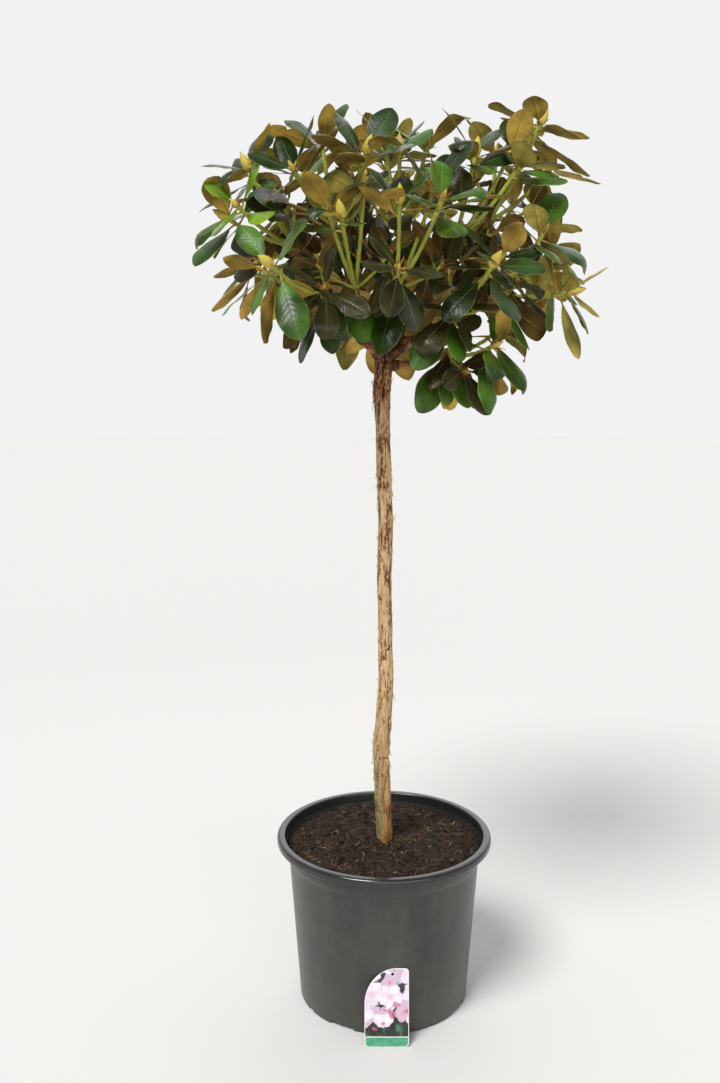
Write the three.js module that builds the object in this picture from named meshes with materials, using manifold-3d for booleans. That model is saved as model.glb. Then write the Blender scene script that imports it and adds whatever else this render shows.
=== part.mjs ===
// A rhododendron grown as a standard: a round head of leaves on one bare stem, in a nursery pot.
// Units are millimetres and +Z is up. The origin is the centre of the pot's flat underside.
// Directions are given by an azimuth, counted from +X (0) through +Y (90), and a rise above the level.
// The head is grown by a seeded rule: each bough ends in a mass, whose stem forks into shoots, and
// each shoot ends in a whorl of leaves round a bud. Every mass keeps to its own space.
import * as THREE from "three";
import { mergeVertices } from "three/addons/utils/BufferGeometryUtils.js";
import Module from "manifold-3d";

const wasm = await Module();
wasm.setup();

// ---------------------------------------------------------------- driving dimensions

const GAP = 0.3; // clearance between neighbouring solids
const TURN_STEPS = 32; // facets round the pot and its soil

const POT = {
  height: 277,
  baseRadius: 137, // outside, at the bottom of the wall
  shoulderRadius: 153.5, // outside, where the wall meets the collar
  shoulderHeight: 240,
  collarRadius: 157,
  lipRadius: 173, // the widest part of the rolled lip
  lipDepth: 14,
  mouthRadius: 160, // the inner edge of the lip
  wall: 2.2,
  padRadius: 106, // the flat pad under the middle of the floor
  channelHeight: 8, // the drain channel between the pad and the foot ring
  footRadius: 128, // the inner edge of the foot ring
  footEdge: 3, // rounding at the outer bottom edge
};

const DRAINS = {
  wide: { count: 4, width: 42, height: 7, azimuth: 60 },
  narrow: { count: 4, width: 12, height: 5, azimuth: 31 },
};

// The compost is level in the middle, and falls away where it has shrunk from the wall.
const SOIL = { level: 264, edgeLevel: 257, brinkLevel: 261, brink: 8 };

const LABEL = {
  width: 68,
  length: 120,
  thickness: 0.8,
  cornerRadius: 6,
  sweepWidth: 50, // the large quarter arc at the top left
  sweepHeight: 55,
  holeRadius: 2.5,
  offset: 2, // sideways from the pot's axis
  foot: 169, // its bottom edge, in front of the pot's axis
};

// The stem's centre and radius at each height, from the flat cut at ground level to the fork.
const STEM_SIDES = 10;
const STEM = [
  { z: SOIL.level + GAP, x: 0.9, y: 0, r: 11.6 },
  { z: 276, x: 0.8, y: 0, r: 12.8 },
  { z: 330, x: -1.8, y: 0.6, r: 13.0 },
  { z: 400, x: -4.5, y: 1.4, r: 13.0 },
  { z: 403, x: -4.6, y: 1.5, r: 12.0 }, // girdle scar
  { z: 407, x: -4.7, y: 1.5, r: 13.5 },
  { z: 428, x: -4.6, y: 1.6, r: 13.4 },
  { z: 462, x: -1.4, y: 1.0, r: 12.6 },
  { z: 530, x: 2.0, y: -0.6, r: 12.2 },
  { z: 611, x: 0.9, y: -1.5, r: 11.2 },
  { z: 700, x: -1.3, y: -0.5, r: 11.0 },
  { z: 779, x: 1.1, y: 1.0, r: 11.6 },
  { z: 862, x: -2.1, y: 1.6, r: 11.0 },
  { z: 950, x: -5.0, y: 0.8, r: 11.2 },
  { z: 985, x: -6.0, y: 0.3, r: 13.2 }, // graft union
  { z: 1010, x: -4.0, y: 0.2, r: 12.8 },
  { z: 1040, x: -2.0, y: 0, r: 14.6 },
  { z: 1062, x: -0.5, y: 0, r: 16.4 },
  { z: 1082, x: 0.5, y: 0, r: 15.0 },
  { z: 1093, x: 1.0, y: 0, r: 10.5 },
];

const BOUGH = { baseRadius: 6.2, tipRadius: 3.9, sides: 5, steps: 4, sweep: 0.35 };
const SHOOT = { stem: 14, stemRadius: 3.9, radius: 3.2, tipRadius: 2.8, sides: 3, lift: 0.3 };
const CHANCE = { tilt: 0.14, length: 0.14, turn: 24 }; // how far the shoots of a mass differ
const WHORL = { fewest: 6, span: 24, youngPitch: 48, oldPitch: 88, pitchJitter: 14, roll: 24 };
const LEAF = { length: 101, lengthJitter: 0.14, slimmest: 0.39, widest: 0.47, youngShare: 0.74 };
// Corners of a leaf, as shares of its length and width, and its sizes at the root and the crest.
const BLADE = {
  rootOut: 1,
  rootHalf: 1.2,
  neck: 0.13,
  neckHalf: 1.5,
  low: 0.36,
  lowShare: 0.8,
  high: 0.76,
  highShare: 0.9,
  crest: 0.55,
  thickness: 1.4,
  crestLift: 0.05, // how far the crest rises with the leaf's arch, so that an arched leaf keeps its thickness
};
const BUD = { radius: 7.5, length: 25, sides: 3 };
const OLD_LEAVES = { count: 5, pitch: 84, share: 0.95, droop: 1.2 };
const OVERREACH = 24; // how far a mass's leaves may pass the halfway line to its neighbours
const GOLDEN_TURN = 137.508;

// One row for each bough and the mass it carries.
// start: the height on the stem where the bough leaves it. bough: its azimuth, rise and length.
// axis: azimuth and rise of the mass's own axis. shoots, spread, length and turn: how many shoots
// fan round that axis, how far off it they lean, how long they are, and where the first one points.
// droop: how far the oldest leaf of a whorl hangs.
const MASSES = [
  { name: "front", start: 1070, bough: [279, 36, 99], axis: [306, 60], shoots: 3, spread: 15, length: 131, turn: 65, droop: -0.45, seed: 76 },
  { name: "front_left", start: 1054, bough: [240, 42, 108], axis: [247, 69], shoots: 3, spread: 17, length: 126, turn: 82, droop: -0.45, seed: 92 },
  { name: "left_low", start: 1036, bough: [230, 35, 140], axis: [194, 9], shoots: 2, spread: 32, length: 111, turn: 92, droop: 1.1, seed: 18 },
  { name: "left", start: 1064, bough: [193, 44, 178], axis: [197, 30], shoots: 3, spread: 23, length: 115, turn: 7, droop: 0, seed: 74 },
  { name: "top_left", start: 1078, bough: [199, 60, 146], axis: [245, 63], shoots: 3, spread: 30, length: 133, turn: 144, droop: -0.4, seed: 96 },
  { name: "top", start: 1064, bough: [51, 77, 152], axis: [11, 88], shoots: 3, spread: 20, length: 131, turn: 166, droop: -0.3, seed: 79 },
  { name: "top_right", start: 1080, bough: [344, 49, 145], axis: [353, 59], shoots: 3, spread: 17, length: 141, turn: 21, droop: -0.45, seed: 38 },
  { name: "right_top", start: 1060, bough: [9, 48, 224], axis: [35, 52], shoots: 3, spread: 26, length: 144, turn: 53, droop: 0.65, seed: 78 },
  { name: "right", start: 1050, bough: [351, 26, 172], axis: [11, 19], shoots: 3, spread: 33, length: 117, turn: 18, droop: 0.3, seed: 5 },
  { name: "front_right", start: 1038, bough: [318, 26, 125], axis: [324, 39], shoots: 2, spread: 15, length: 101, turn: 293, droop: 0.8, seed: 94 },
  { name: "right_low", start: 1024, bough: [328, 9, 97], axis: [355, 12], shoots: 2, spread: 26, length: 84, turn: 95, droop: 0.9, seed: 71 },
  { name: "back_right", start: 1044, bough: [43, 36, 183], axis: [31, 23], shoots: 3, spread: 31, length: 122, turn: 36, droop: 0.7, seed: 41 },
  { name: "back", start: 1060, bough: [87, 42, 167], axis: [92, 50], shoots: 3, spread: 23, length: 139, turn: 232, droop: -0.2, seed: 18 },
  { name: "back_left", start: 1052, bough: [138, 38, 163], axis: [148, 28], shoots: 3, spread: 42, length: 119, turn: 331, droop: 0.6, seed: 4 },
  { name: "back_low", start: 1032, bough: [84, 27, 119], axis: [85, 11], shoots: 2, spread: 30, length: 109, turn: 83, droop: 1.1, seed: 30 },
  { name: "back_top", start: 1070, bough: [126, 58, 173], axis: [136, 40], shoots: 3, spread: 32, length: 123, turn: 302, droop: -0.1, seed: 92 },
];

// ---------------------------------------------------------------- small helpers

const UP = new THREE.Vector3(0, 0, 1);
const lerp = THREE.MathUtils.lerp;
const radians = THREE.MathUtils.degToRad;

// A repeatable stream of numbers from 0 to 1.
function seeded(seed) {
  const modulus = 2147483647;
  let state = (seed * 7919) % modulus;
  const next = () => {
    state = (state * 48271) % modulus;
    return state / modulus;
  };
  next();
  next();
  return next;
}

function direction(azimuth, rise) {
  const level = Math.cos(radians(rise));
  return new THREE.Vector3(
    level * Math.cos(radians(azimuth)),
    level * Math.sin(radians(azimuth)),
    Math.sin(radians(rise)),
  );
}

// The part of a vector that lies square to an axis, made one unit long.
function squared(vector, axis) {
  return vector.clone().addScaledVector(axis, -vector.dot(axis)).normalize();
}

// The direction that leans off an axis by tilt degrees, at a turn round it counted from its upper side.
function leaning(axis, tilt, turn) {
  const upper = squared(Math.abs(axis.z) > 0.99 ? new THREE.Vector3(0, 1, 0) : UP, axis);
  const side = new THREE.Vector3().crossVectors(axis, upper);
  const sine = Math.sin(radians(tilt));
  return axis
    .clone()
    .multiplyScalar(Math.cos(radians(tilt)))
    .addScaledVector(upper, sine * Math.cos(radians(turn)))
    .addScaledVector(side, sine * Math.sin(radians(turn)));
}

function along(point, way, distance) {
  return point.clone().addScaledVector(way, distance);
}

function geometryOf(points, faces) {
  const geometry = new THREE.BufferGeometry();
  geometry.setAttribute("position", new THREE.Float32BufferAttribute(points.flatMap((p) => p.toArray()), 3));
  geometry.setIndex(faces.flat());
  return geometry;
}

// A closed three.js geometry as a solid.
function solid(geometry) {
  const bare = geometry.index ? geometry.toNonIndexed() : geometry.clone();
  bare.deleteAttribute("normal");
  bare.deleteAttribute("uv");
  const merged = mergeVertices(bare, 1e-4);
  return new wasm.Manifold(
    new wasm.Mesh({
      numProp: 3,
      vertProperties: merged.attributes.position.array,
      triVerts: new Uint32Array(merged.index.array),
    }),
  );
}

function geometryFrom(shape) {
  const mesh = shape.getMesh();
  const geometry = new THREE.BufferGeometry();
  geometry.setAttribute("position", new THREE.BufferAttribute(new Float32Array(mesh.vertProperties), 3));
  geometry.setIndex(new THREE.BufferAttribute(new Uint32Array(mesh.triVerts), 1));
  geometry.computeVertexNormals();
  return geometry;
}

// The largest body of a solid: a loose scrap is dropped, and a hollow sealed inside it is filled.
function wholeBody(shape) {
  const bodies = shape.decompose();
  return bodies.reduce((best, body) => (body.volume() > best.volume() ? body : best));
}

// A tapering round limb through the given points, with a radius at each point and flat ends.
function limb(points, radii, sides) {
  const steps = points.length - 1;
  const geometry = new THREE.CylinderGeometry(1, 1, 1, sides, steps);
  const frames = limbFrames(points);
  const position = geometry.attributes.position;
  const vertex = new THREE.Vector3();
  for (let i = 0; i < position.count; i++) {
    vertex.fromBufferAttribute(position, i);
    const ring = Math.round((vertex.y + 0.5) * steps);
    const { across, beside } = frames[ring];
    const place = along(points[ring], across, vertex.x * radii[ring]);
    place.addScaledVector(beside, vertex.z * radii[ring]);
    position.setXYZ(i, place.x, place.y, place.z);
  }
  return geometry;
}

// Square axes at each point of a limb, turning as little as they can from one point to the next.
function limbFrames(points) {
  const last = points.length - 1;
  const tangents = points.map((_, i) => {
    const from = points[Math.max(i - 1, 0)];
    const to = points[Math.min(i + 1, last)];
    return to.clone().sub(from).normalize();
  });
  let across = squared(Math.abs(tangents[0].z) > 0.9 ? new THREE.Vector3(1, 0, 0) : UP, tangents[0]);
  return tangents.map((tangent) => {
    across = squared(across, tangent);
    return { across, beside: new THREE.Vector3().crossVectors(across, tangent) };
  });
}

// ---------------------------------------------------------------- pot, soil and label

// A closed profile of [radius, height] points turned about the Z axis.
function turned(profile) {
  const points = profile.map(([radius, height]) => new THREE.Vector2(radius, height));
  const lathe = new THREE.LatheGeometry(points, TURN_STEPS);
  return lathe.rotateX(Math.PI / 2);
}

// The inside of the pot, from the axis out along the floor and up to the collar, moved in by a gap.
function innerProfile(gap) {
  const { wall, padRadius, channelHeight, baseRadius, shoulderRadius, shoulderHeight, collarRadius } = POT;
  const floor = wall + gap;
  return [
    [0, floor],
    [padRadius - wall - gap, floor],
    [padRadius - gap, channelHeight + floor],
    [baseRadius - wall - gap, channelHeight + floor],
    [shoulderRadius - wall - gap, shoulderHeight],
    [collarRadius - wall - gap, shoulderHeight + 6],
  ];
}

function potShape() {
  const { height, baseRadius, shoulderRadius, shoulderHeight, collarRadius } = POT;
  const { lipRadius, lipDepth, mouthRadius, padRadius, channelHeight, footRadius, footEdge } = POT;
  const lipBottom = height - lipDepth;
  const outer = [
    [0, 0],
    [padRadius, 0],
    [padRadius + 2, channelHeight],
    [footRadius - 2, channelHeight],
    [footRadius, 0],
    [baseRadius - footEdge, 0],
    [baseRadius, footEdge],
    [shoulderRadius, shoulderHeight],
    [collarRadius, shoulderHeight + 5],
    [collarRadius + 1, lipBottom],
  ];
  const lip = [
    [lipRadius - 3, lipBottom],
    [lipRadius, lipBottom + 4],
    [lipRadius, height - 5],
    [lipRadius - 3.5, height - 1],
    [lipRadius - 7, height],
    [mouthRadius + 2.5, height - 0.6],
    [mouthRadius, height - 3],
  ];
  const profile = [...outer, ...lip, ...innerProfile(0).reverse()];
  return drainCuts().reduce((pot, cut) => pot.subtract(cut), solid(turned(profile)));
}

// Notches in the foot ring, which let water out of the drain channel.
function drainCuts() {
  const reach = POT.baseRadius - POT.footRadius + 10;
  return Object.values(DRAINS).flatMap(({ count, width, height, azimuth }) =>
    Array.from({ length: count }, (_, i) => {
      const notch = new THREE.BoxGeometry(reach, width, 2 * height);
      notch.translate(POT.footRadius - 4 + reach / 2, 0, 0);
      notch.rotateZ(radians(azimuth + (360 / count) * i));
      return solid(notch);
    }),
  );
}

function soilShape() {
  const wallRadius = POT.collarRadius - POT.wall - GAP;
  const surface = [
    [wallRadius, SOIL.edgeLevel],
    [wallRadius - SOIL.brink, SOIL.brinkLevel],
    [wallRadius * 0.84, SOIL.level],
    [0, SOIL.level],
  ];
  return solid(turned([...innerProfile(GAP), ...surface]));
}

// A plant label standing in front of the pot and leaning on its wall, bare of any print.
function labelShape() {
  const { width, length, thickness, cornerRadius: r, sweepWidth, sweepHeight, holeRadius } = LABEL;
  const half = width / 2;
  const outline = new THREE.Shape();
  outline.moveTo(-half + r, 0);
  outline.lineTo(half - r, 0);
  outline.absarc(half - r, r, r, -Math.PI / 2, 0, false);
  outline.lineTo(half, length - r);
  outline.absarc(half - r, length - r, r, 0, Math.PI / 2, false);
  outline.lineTo(-half + sweepWidth, length);
  outline.absellipse(-half + sweepWidth, length - sweepHeight, sweepWidth, sweepHeight, Math.PI / 2, Math.PI, false);
  outline.lineTo(-half, r);
  outline.absarc(-half + r, r, r, Math.PI, 1.5 * Math.PI, false);
  const hole = new THREE.Path();
  hole.absarc(half - 25, length - 9, holeRadius, 0, 2 * Math.PI, true);
  outline.holes.push(hole);
  const plate = new THREE.ExtrudeGeometry(outline, { depth: thickness, bevelEnabled: false, curveSegments: 4 });
  const lean = labelLean(outline.getPoints(4));
  plate.translate(0, 0, -thickness);
  plate.rotateX(Math.PI / 2 - lean);
  return solid(plate.translate(LABEL.offset, -LABEL.foot, GAP + thickness * Math.sin(lean)));
}

// How far the label can lean back before a point of its outline comes within a gap of the wall.
function labelLean(points) {
  const { baseRadius, shoulderRadius, shoulderHeight, footEdge } = POT;
  const slope = (shoulderRadius - baseRadius) / (shoulderHeight - footEdge);
  const facet = Math.tan(Math.PI / TURN_STEPS);
  const isClearAt = (lean) =>
    points.every(({ x, y }) => {
      const back = LABEL.foot - y * Math.sin(lean) - LABEL.thickness * Math.cos(lean);
      const wall = baseRadius + slope * (y * Math.cos(lean) - footEdge) - Math.abs(x + LABEL.offset) * facet;
      return back > wall + GAP;
    });
  let lean = 0;
  for (let step = 0.5; step > 1e-5; step /= 2) {
    if (isClearAt(lean + step)) lean += step;
  }
  return lean;
}

// ---------------------------------------------------------------- stem and boughs

function stemLimb(extra) {
  const points = STEM.map(({ x, y, z }) => new THREE.Vector3(x, y, z));
  points.at(-1).z += extra;
  return limb(points, STEM.map(({ r }) => r + extra), STEM_SIDES);
}

function stemCentre(height) {
  const above = STEM.findIndex(({ z }) => z >= height);
  const low = STEM[above - 1];
  const high = STEM[above];
  const share = (height - low.z) / (high.z - low.z);
  return new THREE.Vector3(lerp(low.x, high.x, share), lerp(low.y, high.y, share), height);
}

// A bough leaves the stem flatter than it ends: its path is a quadratic curve from the stem's centre.
function boughPath({ start, bough: [azimuth, rise, length] }) {
  const from = stemCentre(start);
  const tip = along(from, direction(azimuth, rise), length);
  const bend = along(from, direction(azimuth, rise * (1 - BOUGH.sweep)), length * 0.5);
  return new THREE.QuadraticBezierCurve3(from, bend, tip);
}

function boughShape(mass, stemSpace) {
  const path = boughPath(mass);
  const points = path.getPoints(BOUGH.steps);
  const radii = points.map((_, i) => lerp(BOUGH.baseRadius, BOUGH.tipRadius, i / BOUGH.steps));
  return wholeBody(solid(limb(points, radii, BOUGH.sides)).subtract(stemSpace));
}

// ---------------------------------------------------------------- growth rule

// Grows a mass as plain data: its stem, its shoots and their leaves, before anything is left out.
function grow(mass) {
  const random = seeded(mass.seed);
  const about = (middle, chance) => middle * (1 + chance * (2 * random() - 1));
  const path = boughPath(mass);
  const stemWay = path.getTangent(1);
  const foot = along(path.getPoint(1), stemWay, GAP);
  const fork = along(foot, stemWay, SHOOT.stem);
  const axis = direction(...mass.axis);
  const shoots = Array.from({ length: mass.shoots }, (_, i) => {
    const turn = mass.turn + (360 / mass.shoots) * i + CHANCE.turn * (random() - 0.5);
    const way = leaning(axis, about(mass.spread, CHANCE.tilt), turn);
    const length = about(mass.length, CHANCE.length);
    const middle = along(fork, way, length / 2);
    const heading = way.clone().addScaledVector(UP, SHOOT.lift).normalize();
    return { root: fork, middle, tip: along(middle, heading, length / 2), heading };
  });
  shoots.forEach((shoot) => {
    shoot.leaves = whorl(shoot, mass.droop, random);
  });
  const old = Array.from({ length: OLD_LEAVES.count }, (_, k) => {
    const way = leaning(axis, OLD_LEAVES.pitch, mass.turn + k * GOLDEN_TURN);
    const length = about(LEAF.length * OLD_LEAVES.share, LEAF.lengthJitter);
    return growLeaf(fork, way, axis, length, OLD_LEAVES.droop, random);
  });
  return { mass, foot, fork, shoots, old };
}

// The leaves round a shoot's bud, each set back a little further, leaning further out and hanging lower.
function whorl({ tip, heading }, droop, random) {
  const count = WHORL.fewest + Math.floor(3 * random());
  const phase = 360 * random();
  return Array.from({ length: count }, (_, k) => {
    const age = k / (count - 1);
    const pitch = lerp(WHORL.youngPitch, WHORL.oldPitch, age) + WHORL.pitchJitter * (2 * random() - 1);
    const way = leaning(heading, pitch, phase + k * GOLDEN_TURN);
    const size = LEAF.length * lerp(LEAF.youngShare, 1, age);
    const length = size * (1 + LEAF.lengthJitter * (2 * random() - 1));
    return growLeaf(along(tip, heading, -age * WHORL.span), way, heading, length, droop * age, random);
  });
}

// A leaf hangs a little below the way it sets out, and its upper face looks along its shoot and up.
function growLeaf(root, out, shootWay, length, droop, random) {
  const way = out.clone().addScaledVector(UP, -droop).normalize();
  const width = length * lerp(LEAF.slimmest, LEAF.widest, random());
  const roll = WHORL.roll * (2 * random() - 1);
  const face = squared(shootWay.clone().addScaledVector(UP, 0.7), way);
  const arch = 0.04 + 0.08 * random();
  return { root, way, face: face.applyAxisAngle(way, radians(roll)), length, width, arch };
}

// ---------------------------------------------------------------- leaves and twigs as solids

// The corners of a leaf: a deep root inside the twig, a narrow neck, two pairs of corners along
// its margins, the tip, and a crest on its upper face. Its underside is flat across.
function leafCorners({ root, way, face, length, width, arch }) {
  const side = new THREE.Vector3().crossVectors(face, way);
  const at = (share, across, lift) =>
    along(root, way, share * length)
      .addScaledVector(side, across)
      .addScaledVector(face, lift - arch * length * share * share);
  const { rootOut, rootHalf, neck, neckHalf, low, lowShare, high, highShare, crest } = BLADE;
  const lowHalf = (lowShare * width) / 2;
  const highHalf = (highShare * width) / 2;
  const thickness = BLADE.thickness + BLADE.crestLift * arch * length;
  return [
    at(rootOut / length, 0, rootHalf),
    at(rootOut / length, 0, -rootHalf),
    at(neck, neckHalf, 0),
    at(neck, -neckHalf, 0),
    at(low, lowHalf, 0),
    at(low, -lowHalf, 0),
    at(high, highHalf, 0),
    at(high, -highHalf, 0),
    at(1, 0, 0),
    at(crest, 0, thickness),
  ];
}

const UNDERSIDE = [[2, 4, 5], [2, 5, 3], [4, 6, 7], [4, 7, 5], [6, 8, 7]];
const UPPERSIDE = [[2, 9, 4], [4, 9, 6], [6, 9, 8], [8, 9, 7], [7, 9, 5], [5, 9, 3]];
const ROOT = [[0, 9, 2], [3, 9, 0], [0, 2, 1], [0, 1, 3], [1, 2, 3]];
const LEAF_FACES = [...UNDERSIDE, ...UPPERSIDE, ...ROOT];
const BLADE_FACES = [...UNDERSIDE, ...UPPERSIDE, [3, 9, 2]]; // from the neck to the tip

// The stem of a mass, from just clear of its bough's tip to a little past its fork.
function stemSolid({ foot, fork }) {
  const { stemRadius, sides } = SHOOT;
  const end = along(fork, fork.clone().sub(foot).normalize(), stemRadius);
  return solid(limb([foot, fork, end], [stemRadius, stemRadius, stemRadius * 0.6], sides));
}

function shootSolid({ root, middle, tip }) {
  const { radius, tipRadius, sides } = SHOOT;
  return solid(limb([root, middle, tip], [radius, radius, tipRadius], sides));
}

// A pointed bud that sits on a shoot's tip.
function budSolid({ tip, heading }) {
  const { length, radius, sides } = BUD;
  const points = [-0.25, 0.2, 1].map((share) => along(tip, heading, length * share));
  return solid(limb(points, [radius * 0.5, radius, 0.5], sides));
}

// Places that a mass owns: the middle and tip of each of its shoots, and its fork.
function placesOf({ fork, shoots }) {
  return [fork, ...shoots.flatMap(({ middle, tip }) => [middle, tip])];
}

// Whether no point lies further past the halfway line to another mass's places than it may.
function keepsToSpace(points, own, others) {
  const nearest = (places, point) => Math.min(...places.map((place) => place.distanceTo(point)));
  return points.every((point) => nearest(own, point) < nearest(others, point) + OVERREACH);
}

// Other ways for a leaf that would touch something: lifted, lowered, rolled, or smaller.
const RETRIES = [
  { pitch: 0, roll: 0, size: 1 },
  { pitch: 22, roll: 0, size: 1 },
  { pitch: -22, roll: 0, size: 1 },
  { pitch: 0, roll: 35, size: 1 },
  { pitch: 0, roll: -35, size: 1 },
  { pitch: 0, roll: 0, size: 0.75 },
  { pitch: 30, roll: 0, size: 0.75 },
  { pitch: -30, roll: 0, size: 0.75 },
];

function varied(leaf, { pitch, roll, size }) {
  const side = new THREE.Vector3().crossVectors(leaf.face, leaf.way);
  const lift = (vector) => vector.clone().applyAxisAngle(side, -radians(pitch));
  const way = lift(leaf.way);
  const face = lift(leaf.face).applyAxisAngle(way, radians(roll));
  return { ...leaf, way, face, length: leaf.length * size, width: leaf.width * size };
}

// Fuses a mass from its stem out. What would leave its space, or touch a limb or a leaf, is left out.
function massShape(grown, all, taken) {
  const own = placesOf(grown);
  const others = all.filter((other) => other !== grown).flatMap(placesOf);
  const shoots = grown.shoots.filter((shoot) => isClear(shootSolid(shoot), taken));
  const twigs = shoots.map(shootSolid);
  const leaves = [];
  const blades = [];
  for (const leaf of [...shoots.flatMap((shoot) => shoot.leaves), ...grown.old]) {
    const placed = RETRIES.map((change) => leafCorners(varied(leaf, change))).find((corners) => {
      if (!keepsToSpace(corners, own, others)) return false;
      const blade = solid(geometryOf(corners, BLADE_FACES));
      if (!isClear(blade, blades) || !isClear(blade, twigs)) return false;
      return isClear(solid(geometryOf(corners, LEAF_FACES)), taken);
    });
    if (!placed) continue;
    leaves.push(solid(geometryOf(placed, LEAF_FACES)));
    blades.push(solid(geometryOf(placed, BLADE_FACES)));
  }
  return wholeBody(wasm.Manifold.union([stemSolid(grown), ...twigs, ...shoots.map(budSolid), ...leaves]));
}

function isClear(shape, others) {
  return others.every((other) => !boxesMeet(shape, other) || shape.intersect(other).isEmpty());
}

function boxesMeet(a, b) {
  const p = a.boundingBox();
  const q = b.boundingBox();
  return [0, 1, 2].every((i) => p.min[i] <= q.max[i] && q.min[i] <= p.max[i]);
}

// ---------------------------------------------------------------- the part

const MATERIALS = {
  plastic: new THREE.MeshStandardMaterial({ color: 0x3c3e3d, roughness: 0.5, metalness: 0 }),
  soil: new THREE.MeshStandardMaterial({ color: 0x2c1f18, roughness: 0.95, metalness: 0 }),
  bark: new THREE.MeshStandardMaterial({ color: 0xa88257, roughness: 0.85, metalness: 0 }),
  wood: new THREE.MeshStandardMaterial({ color: 0x6b5233, roughness: 0.8, metalness: 0 }),
  leaf: new THREE.MeshStandardMaterial({ color: 0x35552a, roughness: 0.45, metalness: 0 }),
  label: new THREE.MeshStandardMaterial({ color: 0xf0dfe6, roughness: 0.35, metalness: 0 }),
};

function add(group, name, shape, material) {
  const mesh = new THREE.Mesh(geometryFrom(shape), material);
  mesh.name = name;
  group.add(mesh);
}

function plant() {
  const group = new THREE.Group();
  add(group, "pot", potShape(), MATERIALS.plastic);
  add(group, "soil", soilShape(), MATERIALS.soil);
  add(group, "label", labelShape(), MATERIALS.label);
  const stem = solid(stemLimb(0));
  const stemSpace = solid(stemLimb(GAP));
  add(group, "trunk", stem, MATERIALS.bark);
  const boughs = MASSES.map((mass) => boughShape(mass, stemSpace));
  boughs.forEach((bough, i) => add(group, `bough_${MASSES[i].name}`, bough, MATERIALS.wood));
  const taken = [stem, ...boughs];
  const all = MASSES.map(grow);
  all.forEach((grown) => {
    const shape = massShape(grown, all, taken);
    taken.push(shape);
    add(group, `foliage_${grown.mass.name}`, shape, MATERIALS.leaf);
  });
  return group;
}

export default plant();
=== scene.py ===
"""A rhododendron grown as a standard, in its nursery pot: finished pieces that stand for the solid parts."""

import math
from collections import namedtuple

import bmesh
import bpy
import numpy as np
from bpy.props import FloatProperty, FloatVectorProperty, IntProperty, PointerProperty
from mathutils import Matrix, Vector, noise
from mathutils.bvhtree import BVHTree


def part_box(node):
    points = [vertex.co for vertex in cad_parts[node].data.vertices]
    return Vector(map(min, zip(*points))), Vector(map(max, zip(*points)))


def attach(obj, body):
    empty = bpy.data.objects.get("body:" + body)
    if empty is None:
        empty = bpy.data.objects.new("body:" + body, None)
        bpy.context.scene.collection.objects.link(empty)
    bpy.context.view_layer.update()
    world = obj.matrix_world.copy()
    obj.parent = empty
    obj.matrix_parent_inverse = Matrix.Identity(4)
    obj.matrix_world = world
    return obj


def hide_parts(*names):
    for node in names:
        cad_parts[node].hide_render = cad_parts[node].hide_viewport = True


bl_info = {
    "name": "Potted standard rhododendron",
    "version": (1, 0, 0),
    "blender": (4, 5, 0),
    "location": "3D View > Sidebar > Rhododendron",
    "description": "Bark, shoots, leaves, buds, pot, compost and label of a rhododendron standard",
    "category": "Object",
}

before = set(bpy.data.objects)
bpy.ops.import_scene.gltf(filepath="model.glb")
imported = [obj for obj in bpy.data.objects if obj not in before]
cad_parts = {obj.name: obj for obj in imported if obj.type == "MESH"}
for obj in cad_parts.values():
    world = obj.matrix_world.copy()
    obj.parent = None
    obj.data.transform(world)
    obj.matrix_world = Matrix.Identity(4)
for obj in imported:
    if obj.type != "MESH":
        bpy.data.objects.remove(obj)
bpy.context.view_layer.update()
MM = 0.001

# ---------------------------------------------------------------- sizes shared with the solids, in mm

GAP = 0.3
POT = {
    "height": 277, "base": 137, "shoulder": 153.5, "shoulder_height": 240, "collar": 157, "lip": 173,
    "lip_depth": 14, "mouth": 160, "wall": 2.2, "pad": 106, "channel": 8, "foot": 128,
}
DRAINS = ((4, 42, 7, 60), (4, 12, 5, 31))  # count, width, height, azimuth of the first
SOIL = {"level": 264, "edge": 257, "brink_level": 261, "brink": 8}
LABEL = {
    "width": 68, "length": 120, "thickness": 0.8, "corner": 6, "sweep": (50, 55), "offset": 2, "foot": 169,
    "hole": {"from_right": 25, "from_top": 9, "radius": 2.5},
}

# The trunk's centre and radius at each height: z, x, y, radius.
STEM = (
    (264.3, 0.9, 0, 11.6), (276, 0.8, 0, 12.8), (330, -1.8, 0.6, 13.0), (400, -4.5, 1.4, 13.0),
    (403, -4.6, 1.5, 12.0), (407, -4.7, 1.5, 13.5), (428, -4.6, 1.6, 13.4), (462, -1.4, 1.0, 12.6),
    (530, 2.0, -0.6, 12.2), (611, 0.9, -1.5, 11.2), (700, -1.3, -0.5, 11.0), (779, 1.1, 1.0, 11.6),
    (862, -2.1, 1.6, 11.0), (950, -5.0, 0.8, 11.2), (985, -6.0, 0.3, 13.2), (1010, -4.0, 0.2, 12.8),
    (1040, -2.0, 0, 14.6), (1062, -0.5, 0, 16.4), (1082, 0.5, 0, 15.0), (1093, 1.0, 0, 10.5),
)

# Seeds of the random streams that belong to the finished pieces alone.
SEED = {"sprays": 41, "shoots": 43, "buds": 47, "compost": 53, "flakes": 61}

BOUGH = {"base": 6.2, "tip": 3.9, "sweep": 0.35}
SHOOT = {"stem": 14, "stem_radius": 3.9, "radius": 3.2, "tip_radius": 2.8, "lift": 0.3}
CHANCE = {"tilt": 0.14, "length": 0.14, "turn": 24}
WHORL = {"fewest": 6, "span": 24, "young": 48, "old": 88, "jitter": 14, "roll": 24}
LEAF = {"length": 101, "jitter": 0.14, "slimmest": 0.39, "widest": 0.47, "young": 0.74}
NECK = 0.13  # the share of a leaf's length that is stalk
OLD_LEAVES = {"count": 5, "pitch": 84, "share": 0.95, "droop": 1.2}
OVERREACH = 24
GOLDEN_TURN = 137.508

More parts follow.
